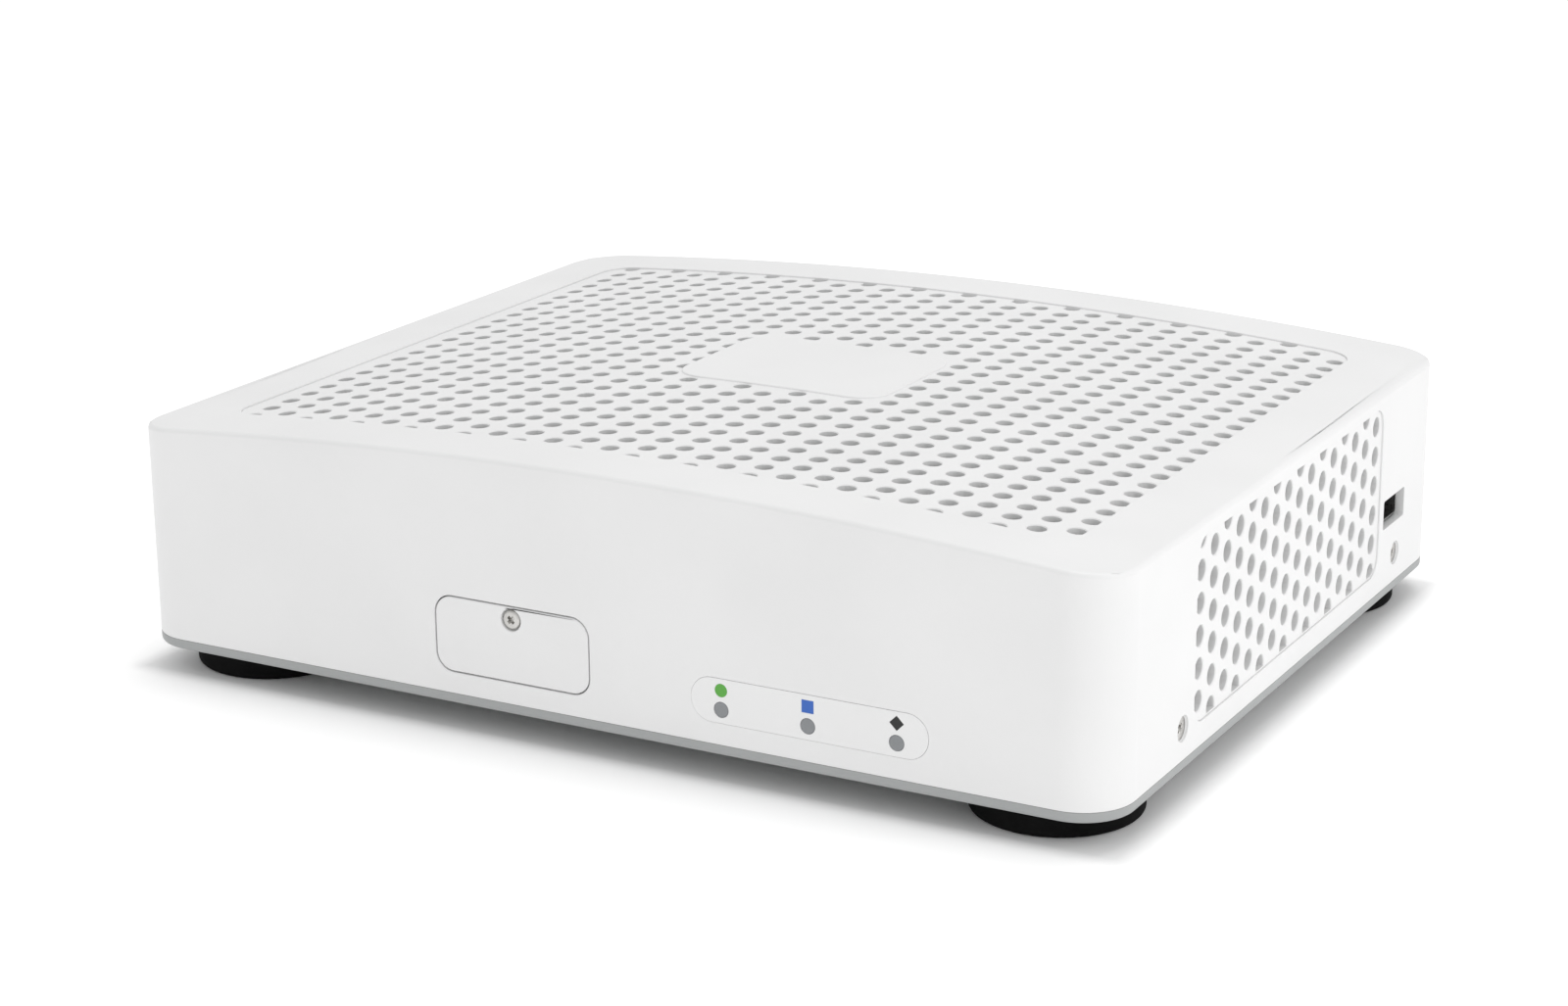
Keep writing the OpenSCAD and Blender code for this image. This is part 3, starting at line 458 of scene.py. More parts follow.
def copies(master, name, places):
    """Copies a piece, mesh and all, to each place, joins the copies and uses the master up."""
    made = []
    for place in places:
        copy = master.copy()
        copy.data = master.data.copy()
        bpy.context.scene.collection.objects.link(copy)
        copy.matrix_world = Matrix.Translation(Vector(place)) @ copy.matrix_world
        made.append(copy)
    bpy.data.objects.remove(master, do_unlink=True)
    only(made[0])
    for copy in made:
        copy.select_set(True)
    if len(made) > 1:
        bpy.ops.object.join()
    return named(name)


def joined(name, pieces):
    """Joins pieces into one."""
    only(pieces[0])
    for piece in pieces:
        piece.select_set(True)
    bpy.ops.object.join()
    return named(name)


def slice_through(piece, places, axis):
    """Adds a line of edges at each place along an axis."""
    normal = [0, 0, 0]
    normal[AXES[axis]] = 1
    only(piece)
    bpy.ops.object.mode_set(mode="EDIT")
    for place in places:
        bpy.ops.mesh.select_all(action="SELECT")
        bpy.ops.mesh.bisect(plane_co=[n * place for n in normal], plane_no=normal, threshold=1e-6)
    leave_edit()


def tidy_mesh(piece):
    """Merges doubled points and removes faces without an area."""
    pick(piece, "VERT", lambda v: True)
    bpy.ops.mesh.remove_doubles(threshold=2e-6)
    bpy.ops.mesh.dissolve_degenerate(threshold=1e-6)
    leave_edit()


def complete(piece, body, slot, *replaced, smooth=35):
    """Shades the piece, paints it, ties it to its body and hides the CAD nodes that it stands for."""
    only(piece)
    bpy.ops.object.shade_smooth_by_angle(angle=math.radians(smooth))
    weighted = piece.modifiers.new("even_shading", "WEIGHTED_NORMAL")
    weighted.keep_sharp = True
    bpy.ops.object.modifier_apply(modifier=weighted.name)
    piece.data.materials.clear()
    piece.data.materials.append(finishes[slot])
    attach(piece, body)
    if replaced:
        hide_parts(*replaced)
    print(piece.name, len(piece.data.polygons), "faces")
    return piece


# %% [markdown]
# ## The casing
# The casing is one moulded shell, open below: four upright walls with round corners, and a roof that is
# arched from left to right. It could be sculpted, or cut out of a big cylinder. A cube does it with less:
# its upright edges are bevelled, its roof is sliced into strips, each slice is dropped onto the arch, and
# Solidify gives the walls their thickness. The openings are then cut out, and a fine bevel rounds every rim,
# because a moulded edge always catches a thin line of light.

# %% Sizes of the casing
casing_low, casing_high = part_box("housing")
half_w, half_d = casing_high[0], casing_high[1]
sill, apex = casing_low[2], casing_high[2]
crown = 5.8 * MM
wall = 2.5 * MM
corner = 12 * MM
arch_radius = half_w ** 2 / (2 * crown) + crown / 2
print("casing", [round(v / MM, 1) for v in (half_w * 2, half_d * 2, apex - sill)])


def fall(x):
    """How far the arched roof lies below its crest, x from the middle."""
    return arch_radius - math.sqrt(arch_radius ** 2 - x ** 2)


def arch(piece, above=-1.0):
    """Drops every point higher than "above" onto the arch."""
    for point in piece.data.vertices:
        if point.co.z > above:
            point.co.z -= fall(point.co.x)


# %% A cube with round upright corners and an arched roof
CORNER_SEGMENTS, MIDDLE_SLICES, EDGE_ROUND = 14, 14, 1.1
casing = rounded_block("casing", casing_low, casing_high, corner, "Z", CORNER_SEGMENTS)
corner_x = [half_w - corner + corner * math.sin(i * math.pi / 2 / CORNER_SEGMENTS)
            for i in range(CORNER_SEGMENTS)]
# Slices stay clear of the side walls: the round roof edge would fold over a narrower strip.
corner_x = [x for x in corner_x if half_w - x > (EDGE_ROUND + 0.2) * MM]
middle_x = [(half_w - corner) * i / MIDDLE_SLICES for i in range(1 - MIDDLE_SLICES, MIDDLE_SLICES)]
slice_through(casing, [side * x for x in corner_x for side in (-1, 1)] + middle_x, "X")
arch(casing, above=(sill + apex) / 2)
pick(casing, "FACE", lambda f: f.normal.z < -0.9)
bpy.ops.mesh.delete(type="FACE")
leave_edit()
print("arched box", len(casing.data.polygons), "faces")

# %% Walls, and the round edge between walls and roof
only(casing)
skin = casing.modifiers.new("wall", "SOLIDIFY")
skin.thickness = wall
skin.offset = -1
skin.use_even_offset = True
bpy.ops.object.modifier_apply(modifier=skin.name)


def is_roof_edge(edge):
    """True where a wall meets the outside of the roof."""
    tilts = [abs(face.normal.z) for face in edge.link_faces]
    return min(tilts) < 0.3 and any(face.normal.z > 0.7 for face in edge.link_faces)


pick(casing, "EDGE", is_roof_edge)
bpy.ops.mesh.bevel(offset=EDGE_ROUND * MM, offset_type="OFFSET", segments=5, affect="EDGES")
leave_edit()
print("shell", len(casing.data.polygons), "faces")

# %% [markdown]
# The openings follow the CAD: one field in the roof and one in each side for the vents, a pocket for the
# service cover, a shallow pocket for the indicator strip with three holes for light pipes, the USB cut-out,
# four countersunk screw holes and a notch along the rear.

# %% Sizes of the openings
ROOF_FIELD, ROOF_FIELD_R = (106.5, 84.7), 7
SIDE_FIELD, SIDE_FIELD_R, SIDE_FIELD_RISE = (58, 20.8), 5, 26.2
side_field_z = sill / MM + SIDE_FIELD_RISE
cover_low, cover_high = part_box("service_cover")
strip_low, strip_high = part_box("indicator_strip")
COVER_R, COVER_GAP, COVER_T, COVER_LEDGE = 4.2, 0.3, 2.05, 1.6
STRIP_R, STRIP_GAP, STRIP_T = 4.9, 0.02, 1.2
front = -half_d
cover_screw_low, cover_screw_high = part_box("service_cover_screw")
cover_screw_x = (cover_screw_low[0] + cover_screw_high[0]) / 2
cover_screw_z = (cover_screw_low[2] + cover_screw_high[2]) / 2
pipe_low, pipe_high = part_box("light_pipes")
pipe_mid = (pipe_low[0] + pipe_high[0]) / 2
pipe_z = (pipe_low[2] + pipe_high[2]) / 2
PIPE_R, PIPE_PITCH = 1.75, 20.8
pipe_x = [pipe_mid + i * PIPE_PITCH * MM for i in (-1, 0, 1)]
usb_low, usb_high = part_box("usb_shell")
usb_y, usb_z = (usb_low[1] + usb_high[1]) / 2, (usb_low[2] + usb_high[2]) / 2
USB_CUT_HALF, USB_CUT_R = (7.45, 3.55), 0.6
NOTCH_HALF, NOTCH_RISE, NOTCH_R = 98, 29.5, 3
SIDE_SCREWS_Y, SIDE_SCREW_RISE = (-64, 70.5), 7.2
side_screw_z = sill + SIDE_SCREW_RISE * MM
PROUD = 4 * MM  # how far cutters stand out of the surface that they cut

# %% Cut the vents, the pockets and the holes
def grown(low, high, gap):
    """The front outline of a fitted piece, larger all round by a gap in millimetres."""
    return low[0] - gap * MM, low[2] - gap * MM, high[0] + gap * MM, high[2] + gap * MM


def front_cut(low, high, gap, radius_mm, depth_mm, segments=10):
    """Cuts a rounded outline into the front wall, to a depth."""
    left, bottom, right, top = grown(low, high, gap)
    combine(casing, rounded_block("cut", (left, front - PROUD, bottom), (right, front + depth_mm * MM, top),
                                  (radius_mm + gap) * MM, "Y", segments))


combine(casing, rounded_block("cut", mm(-ROOF_FIELD[0], -ROOF_FIELD[1], 50), mm(*ROOF_FIELD, 70),
                              ROOF_FIELD_R * MM, "Z"))
for side in (-1, 1):
    edge_x = sorted((side * (half_w - 4 * MM), side * (half_w + PROUD)))
    low = (edge_x[0], -SIDE_FIELD[0] * MM, (side_field_z - SIDE_FIELD[1]) * MM)
    high = (edge_x[1], SIDE_FIELD[0] * MM, (side_field_z + SIDE_FIELD[1]) * MM)
    combine(casing, rounded_block("cut", low, high, SIDE_FIELD_R * MM, "X"))
front_cut(cover_low, cover_high, COVER_GAP, COVER_R, COVER_T)
front_cut(cover_low, cover_high, -COVER_LEDGE, COVER_R, 3.5)
front_cut(strip_low, strip_high, STRIP_GAP, STRIP_R, STRIP_T)
for x in pipe_x:
    combine(casing, rod("cut", (x, front - PROUD, pipe_z), (x, front + PROUD, pipe_z), (PIPE_R + 0.1) * MM))
low = (half_w - PROUD, usb_y - USB_CUT_HALF[0] * MM, usb_z - USB_CUT_HALF[1] * MM)
high = (half_w + PROUD, usb_y + USB_CUT_HALF[0] * MM, usb_z + USB_CUT_HALF[1] * MM)
combine(casing, rounded_block("cut", low, high, USB_CUT_R * MM, "X", 4))
low = (-NOTCH_HALF * MM, half_d - PROUD, sill - 2 * NOTCH_R * MM)
high = (NOTCH_HALF * MM, half_d + PROUD, sill + NOTCH_RISE * MM)
combine(casing, rounded_block("cut", low, high, NOTCH_R * MM, "Y", 6))
print("after the large cuts", len(casing.data.polygons), "faces")

# %% Cut the countersunk screw holes
def side_hole(side, y, start_mm, end_mm, radius_mm, end_radius_mm=None):
    """Cuts a round hole into a side wall between two depths, as a cone when it ends at another radius."""
    start, end = (side * (half_w - depth * MM) for depth in (start_mm, end_mm))
    combine(casing, rod("cut", (start, y * MM, side_screw_z), (end, y * MM, side_screw_z), radius_mm * MM,
                        32, end_radius_mm and end_radius_mm * MM))


HEAD_HOLE_R, SHANK_HOLE_R = 2.9, 1.7
for side in (-1, 1):
    for y in SIDE_SCREWS_Y:
        side_hole(side, y, -1, 0.7, HEAD_HOLE_R)
        side_hole(side, y, 0.65, 1.9, HEAD_HOLE_R, SHANK_HOLE_R)
        side_hole(side, y, 1.8, 4, SHANK_HOLE_R)
print("after the screw holes", len(casing.data.polygons), "faces")

# %% Posts for the front board, and the lug that the cover's screw bites into
POST_X, POST_RISE, POST_END, POST_R = (-44, 14, 88), 19, 8, 3
LUG_HALF, LUG_UP = 2.6, 5.5


def front_rod(name, x, z, start_mm, end_mm, radius_mm, sides=32):
    """A rod that points into the front wall, between two depths behind its face."""
    return rod(name, (x, front + start_mm * MM, z), (x, front + end_mm * MM, z), radius_mm * MM, sides)


for x in POST_X:
    post_z = sill + POST_RISE * MM
    combine(casing, front_rod("post", x * MM, post_z, 2, POST_END, POST_R), "UNION")
    combine(casing, front_rod("cut", x * MM, post_z, 4, POST_END + 1, 1))
low = (cover_screw_x - LUG_HALF * MM, front + 2.3 * MM, cover_screw_z - LUG_HALF * MM)
high = (cover_screw_x + LUG_HALF * MM, front + 7 * MM, cover_screw_z + LUG_UP * MM)
combine(casing, rounded_block("lug", low, high, 1.6 * MM, "Y", 6), "UNION")
combine(casing, front_rod("cut", cover_screw_x, cover_screw_z, 0, 8, 1.4))
tidy_mesh(casing)
soften(casing, 0.22, 2, 40)
tidy_mesh(casing)
complete(casing, "chassis", "housing_white", "housing", smooth=32)

# %% [markdown]
# ## The perforated roof
# The roof's field of holes is a panel of its own, sunk 0.4 mm below the casing, with a plain raised pad in
# the middle. Holes could be painted, but they have to be real where the light falls through them. One hole
# cutter is modelled with a flared mouth, which leaves a fine chamfer, and is copied over the field: columns
# 7.3 mm apart, every other one shifted by half a step. Cutters that cross the border or the pad are trimmed
# first, and the panel is bent onto the arch last, when all its holes are in it.

# %% One hole cutter with a flared mouth
HOLE_R, HOLE_SIDES, FLARE = 2.1, 20, 0.22


def hole_cutter(surface, depth_mm, radius_mm=HOLE_R):
    """A cutter along Z at the origin, whose flare starts just below the surface at height z = surface."""
    cutter = rod("hole", (0, 0, surface - depth_mm * MM), (0, 0, surface - FLARE * MM),
                 radius_mm * MM, HOLE_SIDES)
    pick(cutter, "FACE", lambda f: f.normal.z > 0.9)
    bpy.ops.mesh.extrude_region_move(TRANSFORM_OT_translate={"value": (0, 0, 2 * FLARE * MM)})
    wider = (radius_mm + 2 * FLARE) / radius_mm
    bpy.ops.transform.resize(value=(wider, wider, 1), center_override=(0, 0, surface))
    leave_edit()
    return cutter


# %% Where the holes are
ROOF_PITCH, ROOF_PHASE, ROOF_COLUMNS, ROOF_ROWS = 7.3, (2, 3.5), 14, 12
PAD_AT, PAD_HALF, PAD_R = (1, 1.5), (27.5, 21.25), 8
SINK, SEAM, SHEET = 0.4, 0.04, 1.5
# How far a hole's centre may lie inside the pad, or past the front or rear border, before it is left out.
keep = HOLE_R * 0.4
SIDE_MARGIN, CORNER_MARGIN = 2, 4


def roof_holes():
    """Places of the whole holes, and of those that the border or the pad trims, in millimetres."""
    whole, trimmed = [], []
    for i in range(-ROOF_COLUMNS, ROOF_COLUMNS + 1):
        for j in range(-ROOF_ROWS, ROOF_ROWS + 1):
            x = ROOF_PHASE[0] + ROOF_PITCH * i
            y = ROOF_PHASE[1] + ROOF_PITCH * (j + (i % 2) / 2)
            from_pad = (abs(x - PAD_AT[0]) - PAD_HALF[0], abs(y - PAD_AT[1]) - PAD_HALF[1])
            from_edge = (ROOF_FIELD[0] - abs(x), ROOF_FIELD[1] - abs(y))
            if max(from_pad) < -keep or from_edge[1] < -keep:
                continue
            if from_edge[0] < SIDE_MARGIN or max(from_edge) < CORNER_MARGIN:
                continue
            crosses = min(from_edge) < HOLE_R + 1 or max(from_pad) < HOLE_R + 1
            (trimmed if crosses else whole).append((x, y))
    return whole, trimmed


whole, trimmed = roof_holes()
print(len(whole), "whole holes,", len(trimmed), "trimmed ones")

# %% The sheet, its step and its flange
sheet_top = apex - SINK * MM


def field_block(name, grow_mm, bottom, top):
    """A block with the outline of the roof's field, larger or smaller all round."""
    reach = [half + grow_mm for half in ROOF_FIELD]
    return rounded_block(name, (-reach[0] * MM, -reach[1] * MM, bottom), (reach[0] * MM, reach[1] * MM, top),
                         (ROOF_FIELD_R + grow_mm) * MM, "Z")


def field_ring(outer_mm, bottom_mm, top_mm):
    """A flat ring along the field's border, between two depths below the roof."""
    ring = field_block("ring", outer_mm, apex - bottom_mm * MM, apex - top_mm * MM)
    return combine(ring, field_block("cut", -3, apex - 8 * MM, apex))


sheet = field_block("roof_sheet", -SEAM, apex - (SINK + SHEET) * MM, sheet_top)
combine(sheet, field_ring(-SEAM, 2.55, 1.7), "UNION")
combine(sheet, field_ring(3, 3.5, 2.52), "UNION")
soften(sheet, 0.15, 2, 60)

# %% Trim the cutters that cross the border or the pad, and cut all the holes
pad_low = mm(PAD_AT[0] - PAD_HALF[0], PAD_AT[1] - PAD_HALF[1])
pad_high = mm(PAD_AT[0] + PAD_HALF[0], PAD_AT[1] + PAD_HALF[1])
bottom, top = apex - 9 * MM, apex + 9 * MM
cutters = copies(hole_cutter(sheet_top, 4), "trimmed_holes", [mm(x, y, 0) for x, y in trimmed])
combine(cutters, field_block("limit", -0.1, bottom, top), "INTERSECT")
combine(cutters, rounded_block("cut", (*pad_low, bottom), (*pad_high, top), PAD_R * MM, "Z"))
combine(sheet, cutters, solver="MANIFOLD")
combine(sheet, copies(hole_cutter(sheet_top, 4), "holes", [mm(x, y, 0) for x, y in whole]), solver="MANIFOLD")
print("perforated", len(sheet.data.polygons), "faces")

# %% The raised pad, and the bend onto the arch
pad = rounded_block("pad", (*pad_low, apex - (SINK + SHEET) * MM), (*pad_high, apex), PAD_R * MM, "Z")
soften(pad, 0.35, 3, 60)
combine(sheet, pad, "UNION", solver="MANIFOLD")
between = [(ROOF_PHASE[0] + ROOF_PITCH * (i + 0.5)) * MM
           for i in range(-ROOF_COLUMNS - 1, ROOF_COLUMNS + 1)]
slice_through(sheet, between, "X")
arch(sheet)
tidy_mesh(sheet)
complete(sheet, "chassis", "housing_white", "roof_vent_panel", smooth=30)

# %% [markdown]
# ## The perforated sides
# Each side has a smaller sheet of the same kind, 2.8 mm thick, so that from most angles the eye sees the
# wall of a hole and not the inside of the box. Its holes are trimmed just inside the border.

# %% Side sheets
SIDE_PITCH, SIDE_COLUMNS, SIDE_RIM, SIDE_SHEET = 7.25, 16, 0.5, 2.8
SIDE_HOLE_R, FIRST_ROW, SIDE_ROWS = 2.35, 10.35, range(-1, 7)


def side_hole_places():
    """Places of all the holes of one side, in millimetres along Y and Z."""
    first_y = -SIDE_PITCH * (SIDE_COLUMNS - 1) / 2 - 0.7
    return [(first_y + SIDE_PITCH * i, sill / MM + FIRST_ROW + SIDE_PITCH * (j + (i % 2) / 2))
            for i in range(SIDE_COLUMNS) for j in SIDE_ROWS]


def side_field_block(name, grow_mm, inner, outer):
    """A block with the outline of the side's field, between two depths of the right wall."""
    reach = [half + grow_mm for half in SIDE_FIELD]
    low = (inner, -reach[0] * MM, (side_field_z - reach[1]) * MM)
    high = (outer, reach[0] * MM, (side_field_z + reach[1]) * MM)
    return rounded_block(name, low, high, (SIDE_FIELD_R + grow_mm) * MM, "X")


def side_cutters():
    """All the holes of the right side, made upright at the origin and turned to point out of the wall."""
    surface = half_w - SINK * MM
    master = hole_cutter(0, 5, SIDE_HOLE_R)
    master.matrix_world = Matrix.Rotation(math.radians(90), 4, "Y")
    cutters = copies(master, "holes", [(surface, y * MM, z * MM) for y, z in side_hole_places()])
    limit = side_field_block("limit", -SIDE_RIM, half_w - 9 * MM, half_w + 9 * MM)
    return combine(cutters, limit, "INTERSECT")


def side_sheet(side):
    """The perforated sheet of the right side, or its mirror image for the left."""
    outer = half_w - SINK * MM
    piece = side_field_block("side_sheet", -SEAM, outer - SIDE_SHEET * MM, outer)
    soften(piece, 0.15, 2, 60)
    low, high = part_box("side_vent_right")
    flange = block("flange", (low[0], low[1], low[2]), (half_w - 2.55 * MM, high[1], high[2] - 0.2 * MM))
    combine(flange, side_field_block("cut", -1.6, half_w - 9 * MM, half_w))
    combine(piece, flange, "UNION")
    combine(piece, side_cutters(), solver="MANIFOLD")
    if side < 0:
        only(piece)
        bpy.ops.transform.resize(value=(-1, 1, 1), center_override=(0, 0, 0))
        bpy.ops.object.transform_apply(location=True, rotation=True, scale=True)
        pick(piece, "FACE", lambda f: True)
        bpy.ops.mesh.normals_make_consistent(inside=False)
        leave_edit()
    return piece


for side, label in ((1, "right"), (-1, "left")):
    piece = side_sheet(side)
    piece.name = "side_sheet_" + label
    tidy_mesh(piece)
    complete(piece, "chassis", "housing_white", "side_vent_" + label, smooth=30)

# %% [markdown]
# ## Tray and feet
# The grey band below the casing is the edge of a flat tray. It has a row of cooling slots, a boss over each
# foot and four tabs that the side screws bite into. The lower edge is rounded far more than the upper one,
# so the band shades from light to dark. A foot is a rubber puck with a rounded rim and a well for its screw.

# %% Tray
FOOT_X, FOOT_Y = 101.3, 78
SLOT_HALF, SLOT_PITCH, SLOT_R = (1.5, 23), 7, 1.45
BOSS_R, BOSS_RISE = 4, 3
TAB_HALF, TAB_T, TAB_RISE = 4, 2.6, 12
foot_places = [(sx * FOOT_X, sy * FOOT_Y) for sx in (-1, 1) for sy in (-1, 1)]
tray_low, tray_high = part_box("base_tray")
tray = rounded_block("tray", tray_low, (half_w, half_d, sill), corner, "Z", CORNER_SEGMENTS)
pick(tray, "EDGE", lambda e: all(v.co.z < tray_low[2] + 1e-6 for v in e.verts))
bpy.ops.mesh.bevel(offset=0.9 * MM, offset_type="OFFSET", segments=4, affect="EDGES")
leave_edit()
low = mm(-SLOT_HALF[0], -SLOT_HALF[1], tray_low[2] / MM - 1)
slot = rounded_block("slot", low, mm(*SLOT_HALF, sill / MM + 1), SLOT_R * MM, "Z")
combine(tray, copies(slot, "slots", [mm(i * SLOT_PITCH, 0, 0) for i in range(-6, 7)]))
boss = rod("boss", (0, 0, sill - MM), (0, 0, sill + BOSS_RISE * MM), BOSS_R * MM)
combine(tray, copies(boss, "bosses", [mm(x, y, 0) for x, y in foot_places]), "UNION")
tab_outer = half_w - 2.7 * MM
tab = block("tab", (tab_outer - TAB_T * MM, -TAB_HALF * MM, sill - MM),
            (tab_outer, TAB_HALF * MM, sill + TAB_RISE * MM))
soften(tab, 0.5)
tabs = copies(tab, "tabs", [mm(0, y, 0) for y in SIDE_SCREWS_Y])
left_tabs = tabs.copy()
left_tabs.data = tabs.data.copy()
bpy.context.scene.collection.objects.link(left_tabs)
left_tabs.matrix_world = Matrix.Translation((-2 * tab_outer + TAB_T * MM, 0, 0))
combine(tray, joined("all_tabs", [tabs, left_tabs]), "UNION")
under = tray_low[2] - MM
BOARD_SCREWS = [(sx * 94, y) for sx in (-1, 1) for y in (-50, 18, 86)]
PANEL_SCREWS = [(x, 92.4) for x in (-50, 0, 50)]
for radius_mm, places, top in ((1.6, foot_places, sill + 5 * MM), (1.45, BOARD_SCREWS, sill + MM),
                               (1.25, PANEL_SCREWS, sill + MM)):
    hole = rod("hole", (0, 0, under), (0, 0, top), radius_mm * MM, 24)
    combine(tray, copies(hole, "holes", [mm(x, y, 0) for x, y in places]))
tidy_mesh(tray)
soften(tray, 0.12, 2, 50)
complete(tray, "chassis", "tray_grey", "base_tray")

# %% Feet
FOOT_R, FOOT_H, FOOT_ROUND = 18.7, 6.6, 1.3


def foot(node, x, y):
    """A puck: the underside is inset and pushed up for the screw, and a shallow groove runs round it."""
    def off_centre(point):
        return (point.xy - Vector((x, y))).length

    piece = rod("puck", (x, y, 0), (x, y, FOOT_H * MM), FOOT_R * MM, 72)
    for inset, push in ((1.8, 0), (0.01, 0.25), (1.2, 0), (0.01, -0.25), (10.6, 0), (0.01, FOOT_H * 0.55)):
        pick(piece, "FACE", lambda f: f.normal.z < -0.9 and off_centre(f.calc_center_median()) < MM)
        bpy.ops.mesh.inset(thickness=inset * MM, use_even_offset=True)
        bpy.ops.transform.translate(value=(0, 0, push * MM))
        leave_edit()
    pick(piece, "EDGE", lambda e: all(v.co.z < 1e-6 and off_centre(v.co) > (FOOT_R - 0.1) * MM
                                      for v in e.verts))
    bpy.ops.mesh.bevel(offset=FOOT_ROUND * MM, offset_type="OFFSET", segments=5, affect="EDGES")
    leave_edit()
    piece.name = node.replace("foot", "rubber_foot")
    return complete(piece, "chassis", "foot_rubber", node, smooth=40)


for node in ("foot_front_left", "foot_front_right", "foot_rear_left", "foot_rear_right"):
    low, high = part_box(node)
    foot(node, (low[0] + high[0]) / 2, (low[1] + high[1]) / 2)

# %% [markdown]
# ## Screws
# All the screws are one kind of thing: a head with a cross recess on a plain shank. One function makes the
# head from a short rod or cone, adds the shank and cuts a tapered cross with two wedges. Each screw is made
# at the origin with its head up, then turned and moved to its place.

# %% A cross-head screw
def cross_screw(name, head_r, head_h, shank_r, shank_l, domed):
    """A screw along Z in millimetres; a domed head stands on z = 0, a countersunk one is flush with it."""
    if domed:
        screw = rod(name, (0, 0, 0), mm(0, 0, head_h), head_r * MM, 40)
        pick(screw, "EDGE", lambda e: all(v.co.z > head_h * MM - 1e-7 for v in e.verts))
        bpy.ops.mesh.bevel(offset=head_h * 0.6 * MM, offset_type="OFFSET", segments=5, affect="EDGES")
        leave_edit()
        top, neck = head_h, 0.1
    else:
        screw = rod(name, mm(0, 0, -head_h), (0, 0, 0), shank_r * MM, 40, head_r * MM)
        top, neck = 0, -head_h + 0.05
    combine(screw, rod("shank", mm(0, 0, neck - shank_l), mm(0, 0, neck), shank_r * MM, 24), "UNION")
    arm_l, arm_w = head_r * 0.62, head_r * 0.19
    for turn in (45, 135):
        wedge = block("wedge", mm(-arm_l, -arm_w, top - head_h * 0.9), mm(arm_l, arm_w, top + 1))
        pick(wedge, "FACE", lambda f: f.normal.z < -0.9)
        bpy.ops.transform.resize(value=(0.45, 0.7, 1))
        leave_edit()
        wedge.matrix_world = Matrix.Rotation(math.radians(turn), 4, "Z")
        combine(screw, wedge)
    tidy_mesh(screw)
    soften(screw, 0.05, 1, 40)
    return screw


def turned_to(piece, direction):
    """Turns a piece made along Z to point in a direction, in its mesh."""
    only(piece)
    piece.matrix_world = Vector(direction).to_track_quat("Z", "Y").to_matrix().to_4x4()
    bpy.ops.object.transform_apply(location=True, rotation=True, scale=True)
    return piece


# %% Screws in the sides, under the feet and in the service cover
side_screws = []
for side in (-1, 1):
    master = turned_to(cross_screw("side_screw", 2.75, 1.15, 1.4, 4, False), (side, 0, 0))
    head_x = side * (half_w - 0.75 * MM)
    side_screws.append(copies(master, "side_screws", [(head_x, y * MM, side_screw_z) for y in SIDE_SCREWS_Y]))
complete(joined("casing_screws", side_screws), "chassis", "screw_steel", "housing_screws", smooth=30)
master = turned_to(cross_screw("foot_screw", 3.2, 1.9, 1.55, 7, True), (0, 0, -1))
complete(copies(master, "foot_cross_screws", [mm(x, y, FOOT_H * 0.55) for x, y in foot_places]),
         "chassis", "screw_steel", "foot_screws", smooth=30)
master = turned_to(cross_screw("cover_screw", 2.25, 1.05, 1.25, 5.6, True), (0, -1, 0))
COVER_SINK = 1.2
complete(copies(master, "cover_cross_screw", [(cover_screw_x, front + COVER_SINK * MM, cover_screw_z)]),
         "service_cover", "screw_steel", "service_cover_screw", smooth=30)

# %% [markdown]
# ## The service cover
# A small door in the front wall, held by one screw. It is a rounded plate with a softened face, a counterbore
# for the screw head and two hooks at its back. It rides on its own body, so it slides out with its screw.

# %% Service cover
PLATE_T, HOOK_HALF, HOOK_SPREAD = 2, 2, 11
plate_high = (cover_high[0], front + PLATE_T * MM, cover_high[2])
cover = rounded_block("cover_plate", cover_low, plate_high, COVER_R * MM, "Y", 12)
combine(cover, front_rod("cut", cover_screw_x, cover_screw_z, -PROUD / MM, COVER_SINK, 2.55, 40))
combine(cover, front_rod("cut", cover_screw_x, cover_screw_z, 0, PROUD / MM, 1.5))
tidy_mesh(cover)
soften(cover, 0.28, 3, 40)
cover_mid = (cover_low[2] + cover_high[2]) / 2
hook = block("hook", (cover_screw_x - HOOK_HALF * MM, front + (PLATE_T - 0.1) * MM, cover_mid - 6 * MM),
             (cover_screw_x + HOOK_HALF * MM, front + 2 * PLATE_T * MM, cover_mid - 4.8 * MM))
soften(hook, 0.2)
combine(cover, copies(hook, "hooks", [mm(side * HOOK_SPREAD, 0, 0) for side in (-1, 1)]), "UNION")
complete(cover, "service_cover", "housing_white", "service_cover", smooth=32)

# %% [markdown]
# ## Indicator strip, marks and light pipes
# A thin satin overlay is let into the front wall. It has three holes for the smoked light pipes, and three
# plain marks above them, a dot, a square and a diamond, so the lights are told apart without any lettering.

# %% Strip with its holes
mark_boxes = [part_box("status_" + shape) for shape in ("circle", "square", "diamond")]
mark_z = (mark_boxes[0][0][2] + mark_boxes[0][1][2]) / 2
MARK_DEPTH, CIRCLE_R, SQUARE_HALF, DIAMOND_HALF = 0.4, 1.5, 1.425, 1.175
strip = rounded_block("overlay", strip_low, strip_high, STRIP_R * MM, "Y", 16)
for x in pipe_x:
    combine(strip, front_rod("cut", x, pipe_z, -PROUD / MM, PROUD / MM, PIPE_R + 0.05, 40))


